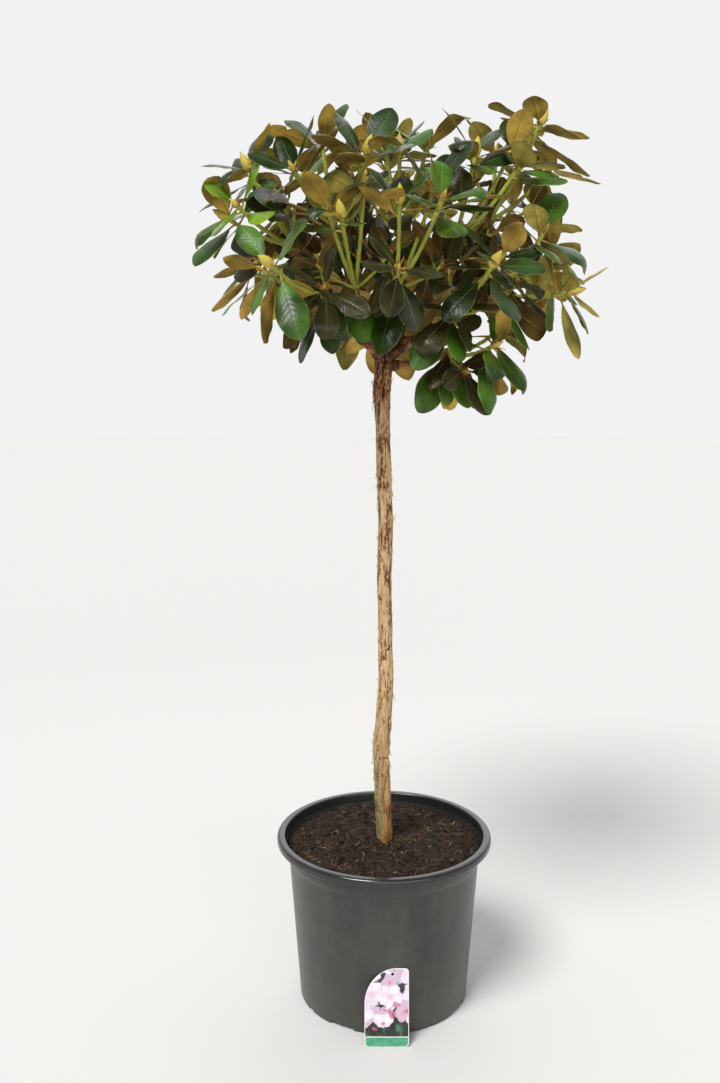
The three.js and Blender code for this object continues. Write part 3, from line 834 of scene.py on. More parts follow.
class LabelSettings(bpy.types.PropertyGroup):
    card: colour("Card", "The label's plain stock", 226, 228, 222)
    ground: colour("Picture ground", "Dark ground behind the blossom", 40, 46, 42)
    petal: colour("Petal", "Palest blossom", 238, 222, 230)
    blush: colour("Blush", "Blossom's darker edge", 206, 164, 184)
    shadow: colour("Petal shade", "Blossom turned from the light", 176, 178, 200)
    throat: colour("Throat", "The blossom's middle", 208, 138, 138)
    bud: colour("Printed bud", "Buds among the blossom", 176, 84, 108)
    leaf: colour("Printed leaf", "Leaves behind the blossom", 62, 112, 84)
    band: colour("Band", "The strip along the foot", 36, 148, 110)


class StageSettings(bpy.types.PropertyGroup):
    floor: colour("Floor", "The floor's colour", 214, 213, 211)
    surround: colour("Surround", "The studio round the plant", 244, 244, 244)
    surround_power: FloatProperty(name="Surround brightness", description="How bright the surround looks",
                                  default=0.98, min=0)
    surround_light: FloatProperty(name="Surround light", default=0.9, min=0,
                                  description="How strongly the surround lights the plant")
    camera_height: FloatProperty(name="Camera height", description="Height of the camera over the floor",
                                 default=1.108, unit="LENGTH")
    camera_distance: FloatProperty(name="Camera distance", description="From the camera to the pot's axis",
                                   default=1.832, unit="LENGTH")
    camera_side: FloatProperty(name="Camera side", description="How far the camera stands to the right",
                               default=-0.0389, unit="LENGTH")
    camera_pitch: FloatProperty(name="Camera pitch", description="How far the camera looks down",
                                default=math.radians(10.89), subtype="ANGLE")
    camera_lens: FloatProperty(name="Lens", description="Focal length over a sensor 36 mm tall, in mm",
                               default=40.03, min=10)


# ---------------------------------------------------------------- leaf, twig and bud finishes

def leaf_upper(name, base, roughness):
    """Leathery green with paler veins, a soft shine, and the faint puckering between its veins."""
    finish = Finish(name, Specular_IOR_Level=0.25)
    across, veins = leaf_veins(finish)
    wander = finish.noise(34, 2)
    pucker = finish.noise(420, 3)
    patchy = finish.limit(wander, 0.3, 0.72)
    aged = each_leaf(finish)
    low = finish.mix(aged, darker(base, 0.3), darker(base, 0.75))
    high = finish.mix(aged, darker(base, 0.7), darker(base, 1.45))
    colour = finish.mix(patchy, low, high)
    colour = finish.mix(veins * 0.1, colour, lighter(base, 0.05))
    rib = finish.limit(across, 0.055, 0.02)
    colour = finish.mix(rib * 0.6, colour, lighter(base, 0.2))
    edge = finish.limit(across, 0.47, 0.5)
    colour = finish.mix(edge * 0.5, colour, lighter(base, 0.3))
    finish.set(Base_Color=colour, Roughness=roughness + patchy * 0.14 + pucker * 0.06)
    finish.bump(pucker * 0.35 - veins * 0.35 + wander * 1.8, 1.0, 0.7)
    return finish.material


def leaf_veins(finish):
    """How far a point lies from the midrib, and a mask of the veins that slant off it."""
    spot = finish.node("ShaderNodeUVMap", {"uv_map": "surface"})
    parts = finish.node("ShaderNodeSeparateXYZ", {}, {0: spot})
    across = finish.node("ShaderNodeMath", {"operation": "ABSOLUTE"}, {0: parts - 0.5})
    along = Field(finish, parts.socket.node.outputs[1])
    phase = (along - across * 0.38) * 74 + finish.noise(46, 2) * 7
    veins = finish.node("ShaderNodeMath", {"operation": "SINE"}, {0: phase})
    return across, finish.limit(veins, 0.74, 1.0)


def each_leaf(finish):
    """A slow drift about as wide as a leaf, so that neighbours differ in depth of colour."""
    return finish.limit(finish.noise(17, 1), 0.38, 0.62)


def leaf_lower(name, base):
    """Felted underside: soft, matt, mottled, with the veins standing out a little."""
    finish = Finish(name, Specular_IOR_Level=0.12)
    across, veins = leaf_veins(finish)
    felt = finish.noise(900, 2)
    mottle = finish.noise(60, 4, 0.65)
    aged = each_leaf(finish)
    low = finish.mix(aged, darker(base, 0.3), darker(base, 1.0))
    high = finish.mix(aged, darker(base, 0.6), darker(base, 1.65))
    colour = finish.mix(finish.limit(mottle, 0.32, 0.7), low, high)
    colour = finish.mix(veins * 0.16, colour, lighter(base, 0.14))
    rust = finish.limit(finish.noise(260, 3, 0.7), 0.6, 0.7)
    colour = finish.mix(rust * 0.4, colour, mixed(darker(base, 0.4), tint(110, 62, 30), 0.4))
    rib = finish.limit(across, 0.05, 0.02)
    colour = finish.mix(rib * 0.7, colour, mixed(base, tint(206, 186, 112), 0.6))
    edge = finish.limit(across, 0.44, 0.5)
    colour = finish.mix(edge * 0.55, colour, mixed(base, tint(110, 120, 52), 0.7))
    finish.set(Base_Color=colour, Roughness=0.62 + felt * 0.2)
    finish.bump(felt * 0.25 + veins * 0.5 + mottle * 0.6, 0.4, 0.55)
    return finish.material


def plain_green(name, base, roughness=0.45, speck=None):
    """A stalk, shoot or scale: one colour drifting along it, with darker specks."""
    finish = Finish(name, Specular_IOR_Level=0.4)
    drift = finish.limit(finish.noise(42, 3), 0.3, 0.7)
    fine = finish.noise(520, 3, 0.7)
    colour = finish.mix(drift, darker(base, 0.82), darker(base, 1.12))
    colour = finish.mix(finish.limit(fine, 0.6, 0.74) * 0.55, colour, speck or darker(base, 0.45))
    finish.set(Base_Color=colour, Roughness=roughness + fine * 0.15)
    finish.bump(fine, 0.25, 0.5)
    return finish.material


# ---------------------------------------------------------------- the crown

ALL_FOLIAGE = [f"foliage_{name}" for name in MASSES]
# Kinds of spray, with the upper and the lower colour of their leaves.
SPRAYS = {
    "deep_tan": ("deep", "tan"),
    "deep_olive": ("deep", "olive"),
    "mid_tan": ("mid", "tan"),
    "mid_olive": ("mid", "olive"),
    # The inner sprays take darker colours: partly older leaves, partly painted shade of the crown's inside.
    "inner": ("old", "shade"),
    "fresh": ("fresh", "olive"),
}
FRESH = {("left", 2)}  # the sprays that are still bright green

_grown = {}


def crown():
    """The grown crown, worked out once."""
    if not _grown:
        _grown["masses"], _grown["sprays"] = grow_crown()
        deal_sprays(_grown["sprays"])
    return _grown["masses"], _grown["sprays"]


# How often something happens to a spray or a leaf; where there are two, at the left and at the right.
OFTEN = {
    "olive": (0.15, 0.75),
    "mid": (0.2, 0.4),
    "more_mid": 0.25,
    "flower": 0.62,
    "curled": 0.12,
    "bitten": 0.06,
}


def deal_sprays(sprays):
    """Deals each spray its kind and its bud, and each leaf its own bend, twist and margin."""
    chance = np.random.default_rng(SEED["sprays"])
    names = {mass: name for name, mass in MASSES.items()}
    seen = {}
    for spray in sprays:
        name = names[spray["grown"]["mass"]]
        order = seen[name] = seen.get(name, -1) + 1
        azimuth, rise, _ = MASSES[name].bough
        rightward = 0.5 + 0.5 * math.cos(math.radians(azimuth))
        under = "olive" if chance.random() < lerp(*OFTEN["olive"], rightward) else "tan"
        fresher = OFTEN["more_mid"] if rise < 34 or rise > 46 else 0
        upper = "mid" if chance.random() < lerp(*OFTEN["mid"], rightward) + fresher else "deep"
        if (name, order) in FRESH:
            spray["kind"] = "fresh"
        else:
            # Sprays inside the crown get the darker inner colours: partly old leaves, partly painted shade.
            spray["kind"] = "inner" if spray["inner"] else f"{upper}_{under}"
        spray["flower"] = not spray["inner"] and chance.random() < OFTEN["flower"]
        for leaf in spray["leaves"]:
            curled = chance.random()
            leaf.update(
                cup=chance.uniform(-0.05, 0.3),
                twist=chance.normal(0, 0.16),
                wave=chance.uniform(0.2, 1.1),
                phase=chance.uniform(0, 6.3),
                curl=chance.uniform(0.5, 1.0) if curled < OFTEN["curled"] else chance.uniform(0, 0.22),
            )
            if chance.random() < OFTEN["bitten"]:
                leaf["bite"] = chance.uniform(0.5, 0.9)


class RHODODENDRON_OT_leaves(bpy.types.Operator):
    """Leaves of the whole crown, one piece for each kind of spray"""

    bl_idname = "rhododendron.leaves"
    bl_label = "Leaves"

    def execute(self, context):
        settings = context.scene.rhododendron_crown
        upper = {key: leaf_upper(f"leaf_{key}", getattr(settings, key), settings.gloss)
                 for key in ("deep", "mid", "fresh", "old")}
        lower = {key: leaf_lower(f"felt_{key}", getattr(settings, key)) for key in ("tan", "olive", "shade")}
        stalk = plain_green("leaf_stalk", settings.stalk)
        _, sprays = crown()
        for kind, (top, under) in SPRAYS.items():
            leaves = [leaf for spray in sprays if spray["kind"] == kind for leaf in spray["leaves"]]
            points, quads, slots, uv = blade_arrays(leaves, LEAF_FORM)
            mesh = mesh_from_faces(f"leaves_{kind}", points, quads, slots, uv, sharp=70)
            add_piece(f"leaves_{kind}", mesh, (upper[top], lower[under], stalk), ALL_FOLIAGE)
        return {"FINISHED"}


SHOOT_STEPS, SHOOT_SIDES = 26, 10
FORK_STEPS, FORK_SIDES = 12, 12
DRY_TWIGS = {"count": 4, "first": (14, 26), "second": (8, 22), "radii": (1.2, 0.45), "steps": 9, "sides": 6}


class RHODODENDRON_OT_shoots(bpy.types.Operator):
    """Green shoots that carry the sprays, and the woody stems that they fork from"""

    bl_idname = "rhododendron.shoots"
    bl_label = "Shoots"

    def execute(self, context):
        settings = context.scene.rhododendron_crown
        masses, sprays = crown()
        chance = np.random.default_rng(SEED["shoots"])
        points, quads = joined([shoot_arrays(spray, chance) for spray in sprays if spray["shoot"]])
        mesh = mesh_from_faces("shoots", points, quads, sharp=80)
        finish = plain_green("shoot", settings.shoot, 0.5, darker(settings.bract, 0.8))
        add_piece("shoots", mesh, (finish,), ALL_FOLIAGE)
        stems = []
        for grown in masses:
            stems += [fork_arrays(grown), *dry_twigs(grown, chance)]
        points, quads = joined(stems)
        mesh = mesh_from_faces("forks", points, quads, sharp=60)
        finish = wood_finish("fork_wood", context.scene.rhododendron_wood)
        add_piece("forks", mesh, (finish,), ALL_FOLIAGE)
        return {"FINISHED"}


def shoot_arrays(spray, chance):
    """A slightly uneven shoot that swells under its bud."""
    shoot = spray["shoot"]
    line = bezier((shoot["root"], shoot["middle"], shoot["tip"]), SHOOT_STEPS)
    line[1:-1] += chance.normal(0, 0.18, (SHOOT_STEPS - 2, 3))
    share = np.linspace(0, 1, SHOOT_STEPS)
    radii = lerp(SHOOT["radius"], SHOOT["tip_radius"], share) * (INNER["thick"] if spray["inner"] else 1)
    radii = radii * (1 + 0.05 * np.sin(share * 40))
    radii = radii * (1 + 0.28 * smooth(0.82, 0.93, share)) * (1 - 0.25 * smooth(0.95, 1, share))
    return tube_arrays(line, radii, SHOOT_SIDES)


def fork_arrays(grown):
    """The knobbed woody stem of a mass, from the tip of its bough to just past its fork."""
    way = unit(grown["fork"] - grown["foot"])
    line = np.linspace(grown["foot"] - way * 1.5, grown["fork"] + way * 5, FORK_STEPS)
    knobs = 1 + 0.1 * np.sin(np.arange(FORK_STEPS) * 1.9)
    radii = SHOOT["stem_radius"] * knobs * np.append(np.ones(FORK_STEPS - 2), (0.9, 0.6))
    return tube_arrays(line, radii, FORK_SIDES)


def dry_twigs(grown, chance):
    """Thin dead spurs round a fork, left where older shoots were shed."""
    twigs = []
    steps = DRY_TWIGS["steps"]
    for _ in range(DRY_TWIGS["count"]):
        way = unit(grown["axis"] + chance.normal(0, 0.8, 3))
        start = grown["foot"] + (grown["fork"] - grown["foot"]) * chance.uniform(0.1, 0.9)
        middle = start + way * chance.uniform(*DRY_TWIGS["first"])
        end = middle + unit(way + chance.normal(0, 0.35, 3)) * chance.uniform(*DRY_TWIGS["second"])
        radii = np.linspace(*DRY_TWIGS["radii"], steps)
        twigs.append(tube_arrays(bezier((start, middle, end), steps), radii, DRY_TWIGS["sides"]))
    return twigs


# Radius, length and number of scales of each kind of bud.
BUD = {"flower": (8.6, 27, 15), "leaf": (4.4, 17, 8), "inner": (2.8, 10, 8)}
BUD_STEPS = 12
BRACTS = 6


class RHODODENDRON_OT_buds(bpy.types.Operator):
    """Flower and leaf buds on the shoots, of overlapping scales, with the dry bracts at their feet"""

    bl_idname = "rhododendron.buds"
    bl_label = "Buds"

    def execute(self, context):
        settings = context.scene.rhododendron_crown
        chance = np.random.default_rng(SEED["buds"])
        scales, bracts, cores = [], [], []
        for spray in crown()[1]:
            shoot = spray["shoot"]
            if shoot is None:
                continue
            kind = "flower" if spray["flower"] else "leaf"
            radius, length, count = BUD["inner" if spray["inner"] else kind]
            cores.append(bud_core(shoot, radius, length))
            scales += bud_scales(shoot, radius, length, count, chance)
            bracts += bud_bracts(shoot, chance)
        points, quads = joined(cores)
        body = plain_green("bud_scale", settings.bud, 0.5, darker(settings.bract, 1.1))
        add_piece("bud_cores", mesh_from_faces("bud_cores", points, quads), (body,), ALL_FOLIAGE)
        for name, blades, finish in (("bud_scales", scales, body),
                                     ("bud_bracts", bracts, plain_green("bract", settings.bract, 0.65))):
            points, quads, _, uv = blade_arrays(blades, SCALE_FORM)
            mesh = mesh_from_faces(name, points, quads, None, uv, sharp=60)
            add_piece(name, mesh, (finish,), ALL_FOLIAGE)
        return {"FINISHED"}


def bud_profile(share):
    """A bud's radius at each share of its length: full below the middle, drawn to a blunt point."""
    return np.sin(math.pi * np.clip(0.14 + 0.86 * share, 0, 1) ** 0.8) ** 0.8


def bud_core(shoot, radius, length):
    share = np.linspace(0, 0.97, BUD_STEPS)
    line = shoot["tip"] + shoot["heading"] * (share[:, None] - 0.12) * length
    return tube_arrays(line, bud_profile(share) * radius * 0.86, BUD_STEPS)


def bud_scales(shoot, radius, length, count, chance):
    """Overlapping scales that spiral up a bud."""
    scales = []
    for k in range(count):
        age = k / (count - 1)
        out = leaning(shoot["heading"], 90, k * GOLDEN_TURN)
        start = lerp(-0.02, 0.5, age)
        half = bud_profile(np.array(start + 0.12))
        lean = lerp(0.16, -0.16, age)
        scales.append({
            "root": shoot["tip"] + shoot["heading"] * (start - 0.1) * length + out * half * radius * 0.82,
            "way": unit(shoot["heading"] + out * (lean + chance.normal(0, 0.03))),
            "face": squared(out, unit(shoot["heading"] + out * lean)),
            "length": length * lerp(0.5, 0.58, age),
            "width": radius * lerp(1.75, 1.2, age),
            "arch": lerp(0.3, 0.22, age),
            "cup": lerp(0.55, 0.5, age),
        })
    return scales


def bud_bracts(shoot, chance):
    """Narrow dry bracts that splay from under a bud."""
    bracts = []
    for k in range(BRACTS):
        turn = k * (360 / BRACTS + 1)
        out = leaning(shoot["heading"], chance.uniform(20, 62), turn + chance.uniform(0, 30))
        foot = shoot["tip"] + shoot["heading"] * chance.uniform(-7, 0)
        bracts.append({
            "root": foot + squared(out, shoot["heading"]) * 2.2,
            "way": out,
            "face": squared(shoot["heading"] + UP * 0.2, out),
            "length": chance.uniform(9, 19),
            "width": chance.uniform(1.8, 3.4),
            "arch": chance.uniform(-0.3, 0.35),
            "cup": 0.4,
        })
    return bracts


# ---------------------------------------------------------------- trunk and boughs

RUSTY_BARK = ((0.42, tint(112, 72, 34)), (0.52, tint(164, 112, 50)), (0.64, tint(196, 152, 84)))
MOSSY_BARK = ((0.42, tint(66, 70, 38)), (0.52, tint(118, 114, 66)), (0.62, tint(158, 146, 96)))
SCAR = {"height": 405, "depth": 1.2, "reach": 1.6}
ROUGH_FROM, ROUGH_TO = 975, 1010  # heights between which the bark turns rough
KNOTTED_FROM, KNOTTED_TO = 1030, 1062  # heights between which the head of the stem turns knotted
FLARE_FROM, FLARE_TO = 285, 262  # heights between which the foot of the stem widens


def wood_finish(name, settings, attribute=None, shaded=0.0):
    """Flaking bark: pale plates, brown between them and dark fissures, browner under the crown."""
    finish = Finish(name, Specular_IOR_Level=0.2)
    grain = finish.noise(90, 5, 0.7, (1, 1, 0.16))
    fine = finish.noise(640, 4, 0.75, (1, 1, 0.35))
    blotch = finish.noise(26, 3, 0.5, (1, 1, 0.5))
    depth = grain
    if attribute:
        depth = finish.node("ShaderNodeAttribute", {"attribute_name": attribute}, output=2)
    height = depth * 0.5 + grain * 0.42 + fine * 0.28 - shaded
    bark = finish.ramp(height, (0.38, settings.dark), (0.47, settings.brown), (0.56, settings.light),
                       (0.66, lighter(settings.light, 0.08)), (0.76, lighter(settings.light, 0.35)))
    blotches = finish.limit(blotch, 0.5, 0.74) * 0.45
    bark = finish.mix(blotches, bark, mixed(settings.brown, settings.light, 0.3))
    up = finish.height()
    under_crown = finish.limit(up + blotch * 0.09 + grain * 0.04, 1.0, 1.05)
    crown_bark = finish.ramp(height, (0.4, darker(settings.dark, 0.45)), (0.5, darker(settings.dark, 1.25)),
                             (0.62, mixed(settings.brown, tint(158, 92, 50), 0.6)), (0.74, settings.light))
    bark = finish.mix(under_crown * 0.9, bark, crown_bark)
    foot = finish.limit(up + blotch * 0.12, 0.6, 0.34)
    rusty, mossy = finish.ramp(grain, *RUSTY_BARK), finish.ramp(fine, *MOSSY_BARK)
    sided = finish.limit(finish.side() + blotch * 0.03, 0.017, 0.011)
    bark = finish.mix(foot * 0.75, bark, finish.mix(sided, rusty, mossy))
    finish.set(Base_Color=bark, Roughness=0.78 + fine * 0.2)
    return finish.bump(grain * 0.8 + fine * 1.3, 1.1, 1.0).material


def bark_height(point, coarse):
    """How far the bark stands at a point, from about -1 in a crack to 1 on a flake, in upright strips."""
    warp = noise.noise(Vector((point.x * 0.06, point.y * 0.06, point.z * 0.03)))
    drawn_out = Vector((point.x * 0.13, point.y * 0.13, point.z * 0.034 + warp))
    layer = 1.9 * noise.fractal(drawn_out, 0.7, 2.3, 4) + 3
    edge = layer % 1
    terrace = math.floor(layer) + float(smooth(0.72, 1.0, edge)) - 3
    spot = Vector((point.x * 0.19 + warp * 0.5, point.y * 0.19, point.z * 0.026 + warp * 1.1))
    near, second = noise.voronoi(spot)[0][:2]
    crack = min((second - near) * 8, 1.0) - 1
    strip = noise.noise(Vector((point.x * 0.5, point.y * 0.5, point.z * 0.035)))
    crumbly = noise.fractal(Vector((point.x * 0.6, point.y * 0.6, point.z * 0.2)), 0.9, 2.1, 4)
    return terrace * 0.42 + crack * 0.5 + strip * 0.5 + crumbly * 0.42 * coarse


def bark_point(turn, height, relief):
    """A point of the bark at a turn round the stem and a height, and how far its bark stands out."""
    centre, radius = stem_at(max(height, STEM[0][0]))
    head = STEM[-1][0]
    out = Vector((math.cos(turn), math.sin(turn), 0))
    spot = out * radius + Vector((0, 0, height))
    swell = 1 + 0.07 * noise.noise(Vector((out.x, out.y, height * 0.012)))
    scar = SCAR["depth"] * math.exp(-((height - SCAR["height"]) / SCAR["reach"]) ** 2)
    raised = bark_height(spot, 1 + 1.6 * smooth(ROUGH_FROM, ROUGH_TO, height)) - scar
    knotted = 2.6 * smooth(KNOTTED_FROM, KNOTTED_TO, height)
    knot = knotted * noise.noise(spot * 0.11 + Vector((9, 3, 1)))
    flare = 0.5 * smooth(FLARE_FROM, FLARE_TO, height) * (1 + 0.9 * math.sin(turn * 5 + 0.7))
    closed = 1 - 0.9 * smooth(head - 6, head, height)
    reach = (radius * swell + raised * relief + knot + flare) * closed
    return Vector((centre[0], centre[1], height)) + out * reach, raised


# Loose flakes of bark: from one height to another, and how many.
FLAKES = ((300, 1000, 260), (960, 1070, 130), (396, 470, 30), (403, 409, 16))


def bark_flakes(chance):
    """Loose flakes of bark, curling off the stem, closest under the crown and about the scar."""
    flakes = []
    for height in np.concatenate([chance.uniform(*stretch) for stretch in FLAKES]):
        centre, radius = stem_at(height)
        turn = chance.uniform(0, 2 * math.pi)
        out = np.array((math.cos(turn), math.sin(turn), 0))
        rough = float(smooth(940, 1010, height))
        way = unit(UP * (1 if chance.random() < 0.4 else -1) + out * chance.uniform(0.02, 0.16 + 0.2 * rough)
                   + np.cross(UP, out) * chance.normal(0, 0.14))
        flakes.append({
            "root": np.array((centre[0], centre[1], height)) + out * (radius - 0.5),
            "way": way,
            "face": squared(out, way),
            "length": chance.uniform(5, 17),
            "width": chance.uniform(1.6, 5.0),
            "arch": chance.uniform(-0.2, 0.08),
            "cup": 0.25,
        })
    return flakes


RING_STEP = 1.2  # height between the rings of the trunk's mesh


class RHODODENDRON_OT_trunk(bpy.types.Operator):
    """The bare stem with the relief of its bark: a grid rolled round the stem and pushed out along it"""

    bl_idname = "rhododendron.trunk"
    bl_label = "Trunk"

    def execute(self, context):
        settings = context.scene.rhododendron_wood
        foot, head = STEM[0][0] - 5, STEM[-1][0]
        rings = int((head - foot) / RING_STEP)
        bm = bmesh.new()
        bmesh.ops.create_grid(bm, x_segments=settings.sides, y_segments=rings, size=0.5)
        depth = bm.verts.layers.float.new("depth")
        for vertex in bm.verts:
            turn = (vertex.co.x + 0.5) * 2 * math.pi
            height = lerp(foot, head, vertex.co.y + 0.5)
            vertex.co, raised = bark_point(turn, height, settings.relief)
            vertex[depth] = 0.5 + 0.5 * raised
        bmesh.ops.remove_doubles(bm, verts=bm.verts, dist=0.01)
        bmesh.ops.holes_fill(bm, edges=[edge for edge in bm.edges if edge.is_boundary], sides=0)
        mesh = mesh_from(bm, "bark")
        add_piece("bark", mesh, (wood_finish("trunk_bark", settings, "depth"),), ("trunk",))
        points, quads, _, uv = blade_arrays(bark_flakes(np.random.default_rng(SEED["flakes"])), SCALE_FORM)
        mesh = mesh_from_faces("bark_flakes", points, quads, None, uv, sharp=60)
        add_piece("bark_flakes", mesh, (wood_finish("flake_bark", settings),), ("trunk",))
        return {"FINISHED"}


BOUGH_STEPS, BOUGH_SIDES = 46, 16


class RHODODENDRON_OT_boughs(bpy.types.Operator):
    """The boughs under the crown, each a tapering limb with a collar where it leaves the stem"""

    bl_idname = "rhododendron.boughs"
    bl_label = "Boughs"

    def execute(self, context):
        settings = context.scene.rhododendron_wood
        limbs = []
        for name, mass in MASSES.items():
            share = np.linspace(0.02, 1, BOUGH_STEPS)
            line = on_curve(bough_curve(mass), share)
            away = np.linalg.norm(line - line[0], axis=1)
            radii = lerp(BOUGH["base"], BOUGH["tip"], share) + 3.2 * (1 - smooth(12, 34, away))
            radii = radii * (1 + 0.06 * np.sin(share * 23 + mass.seed))
            points, quads = tube_arrays(line, radii, BOUGH_SIDES)
            centres = np.repeat(line, BOUGH_SIDES, axis=0)
            for index, (point, centre) in enumerate(zip(points, centres)):
                raised = bark_height(Vector(point) * 1.5, 1.4) * 0.7 * settings.relief
                reach = max(np.linalg.norm(point - centre), 0.1)
                points[index] = point + (point - centre) / reach * raised
            limbs.append((points, quads))
        points, quads = joined(limbs)
        mesh = mesh_from_faces("bough_bark", points, quads, sharp=75)
        names = [f"bough_{name}" for name in MASSES]
        add_piece("bough_bark", mesh, (wood_finish("bough_wood", settings, shaded=0.07),), names)
        return {"FINISHED"}


# ---------------------------------------------------------------- pot

def arc(centre, radius, start, end, count):
    """Points along an arc in the plane of a turned profile, between two angles in degrees."""
    turns = np.radians(np.linspace(start, end, count))
    return [(centre[0] + radius * math.cos(turn), centre[1] + radius * math.sin(turn)) for turn in turns]


def turned(profile, steps):
    """A bmesh of a profile of (radius, height) points, spun about the upright axis."""
    bm = bmesh.new()
    verts = [bm.verts.new((radius, 0, height)) for radius, height in profile]
    edges = [bm.edges.new(pair) for pair in zip(verts, verts[1:])]
    bmesh.ops.spin(bm, geom=verts + edges, cent=(0, 0, 0), axis=(0, 0, 1), angle=2 * math.pi, steps=steps,
                   use_merge=True, use_duplicate=False)
    bmesh.ops.remove_doubles(bm, verts=bm.verts, dist=0.001)
    bmesh.ops.recalc_face_normals(bm, faces=bm.faces)
    return bm


def wall_radius(height):
    """The outside radius of the pot's wall."""
    return lerp(POT["base"], POT["shoulder"], (height - 3) / (POT["shoulder_height"] - 3))


def pot_profile():
    """The section of the pot, from the middle of its base over its lip to the middle of its floor."""
    height, lip, wall = POT["height"], POT["lip"], POT["wall"]
    shoulder, under = POT["shoulder_height"], height - POT["lip_depth"]
    outside = [(0, 0), (60, 0), (POT["pad"], 0), (POT["pad"] + 2, POT["channel"]),
               (POT["foot"] - 2, POT["channel"]), (POT["foot"], 0)]
    outside += arc((POT["base"] - 3, 3), 3, -90, 0, 6)
    outside += [(wall_radius(z), z) for z in np.linspace(12, shoulder - 6, 14)]
    outside += [(POT["shoulder"] + 0.3, shoulder - 1.5), (POT["shoulder"] + 1.6, shoulder + 1.2),
                (POT["collar"], shoulder + 5), (POT["collar"] + 0.6, shoulder + 14),
                (POT["collar"] + 1, under + 0.6)]
    rim = [(POT["collar"] + 2.2, under - 0.6), (lip - 3.2, under)]
    rim += arc((lip - 3, under + 3), 3, -80, 0, 5)
    rim += arc((lip - 5, height - 6), 5, 0, 76, 7)
    rim += [(lip - 6.5, height - 0.6), (POT["mouth"] + 4, height - 1.1)]
    rim += arc((POT["mouth"] + 2.6, height - 3.6), 2.6, 80, 180, 6)
    inside = [(POT["mouth"] - 1.2, height - 12), (POT["collar"] - wall, shoulder + 6)]
    inside += [(POT["shoulder"] - wall, shoulder), (POT["base"] - wall, POT["channel"] + wall),
               (POT["pad"], POT["channel"] + wall), (POT["pad"] - wall, wall), (0, wall)]
    return outside + rim + inside


def cut_drains(bm):
    """Raises the foot ring into notches that let water out of the drain channel."""
    for vertex in bm.verts:
        radius = math.hypot(vertex.co.x, vertex.co.y)
        if radius < POT["foot"] - 1 or vertex.co.z > 12:
            continue
        azimuth = math.degrees(math.atan2(vertex.co.y, vertex.co.x))
        for count, width, height, first in DRAINS:
            off = (azimuth - first + 180 / count) % (360 / count) - 180 / count
            across = abs(math.radians(off)) * radius
            roof = height * smooth(width / 2 + 1, width / 2 - 3, across)
            vertex.co.z = max(vertex.co.z, float(roof))


def plastic_finish(settings):
    """Dark plastic: streaked, dusty and scuffed, greyer near the ground, smoother on its lip and darker there
    by painted shade.
    """
    finish = Finish("pot_plastic", Specular_IOR_Level=0.6)
    streak = finish.noise(26, 4, 0.6, (1, 1, 0.06))
    dust = finish.noise(11, 5, 0.65)
    pebble = finish.noise(900, 2)
    up = finish.height()
    scuffed = finish.limit(finish.noise(150, 5, 0.8, (1, 1, 0.4)), 0.62, 0.8)
    low = finish.limit(up + dust * 0.05, 0.1, 0.0)
    chalky = finish.limit(dust * 0.6 + streak * 0.4, 0.38, 0.64)
    colour = finish.mix(chalky, darker(settings.plastic, 0.85), lighter(settings.plastic, 0.03))
    speckle = finish.limit(finish.noise(420, 3, 0.7), 0.5, 0.7)
    colour = finish.mix(speckle * 0.2, colour, tint(92, 92, 88))
    colour = finish.mix(scuffed * 0.3, colour, tint(104, 102, 98))
    colour = finish.mix(low * 0.22, colour, tint(96, 92, 84))
    # Painted shade: the lip is the same plastic as the wall, drawn darker towards black.
    lip = finish.limit(up, 0.262, 0.2635)
    colour = finish.mix(lip * 0.7, colour, darker(settings.plastic, 0.5))
    worn = settings.roughness + streak * 0.16 + scuffed * 0.16 - 0.06
    finish.set(Base_Color=colour, Roughness=worn - lip * 0.2)
    return finish.bump(pebble * 0.35 + streak * 1.6 + dust, 0.35, 0.5).material


class RHODODENDRON_OT_pot(bpy.types.Operator):
    """The nursery pot: a turned wall with a rolled lip, and a foot ring with drain notches"""

    bl_idname = "rhododendron.pot"
    bl_label = "Pot"

    def execute(self, context):
        settings = context.scene.rhododendron_pot
        bm = turned(pot_profile(), settings.steps)
        cut_drains(bm)
        mesh = mesh_from(bm, "pot_wall", sharp=38)
        add_piece("pot_wall", mesh, (plastic_finish(settings),), ("pot",))
        return {"FINISHED"}


# ---------------------------------------------------------------- compost

# How high the clods, the lumps and the heap round the stem stand, and how far the whole surface is let down.
HEAVE = {"clods": 5.2, "lumps": 4.5, "heap": 1.5, "down": 1.5}


def soil_height(x, y):
    """The compost's surface: a shallow dish with clods, heaped a little round the stem."""
    radius = math.hypot(x, y)
    rim = POT["collar"] - POT["wall"] - GAP
    dish = np.interp(radius, (0, rim * 0.84, rim - SOIL["brink"], rim),
                     (0, 0, SOIL["brink_level"] - SOIL["level"], SOIL["edge"] - SOIL["level"]))
    spot = Vector((x, y, 4.0))
    clods = noise.fractal(spot * 0.05, 0.8, 2.2, 6) * HEAVE["clods"]
    lumps = max(noise.noise(spot * 0.13), 0) * HEAVE["lumps"]
    heap = HEAVE["heap"] * float(smooth(46, 18, radius))
    rough = (clods + lumps) * (1 - 0.75 * float(smooth(rim - 16, rim, radius)))
    return SOIL["level"] + float(dish) + heap + rough - HEAVE["down"]


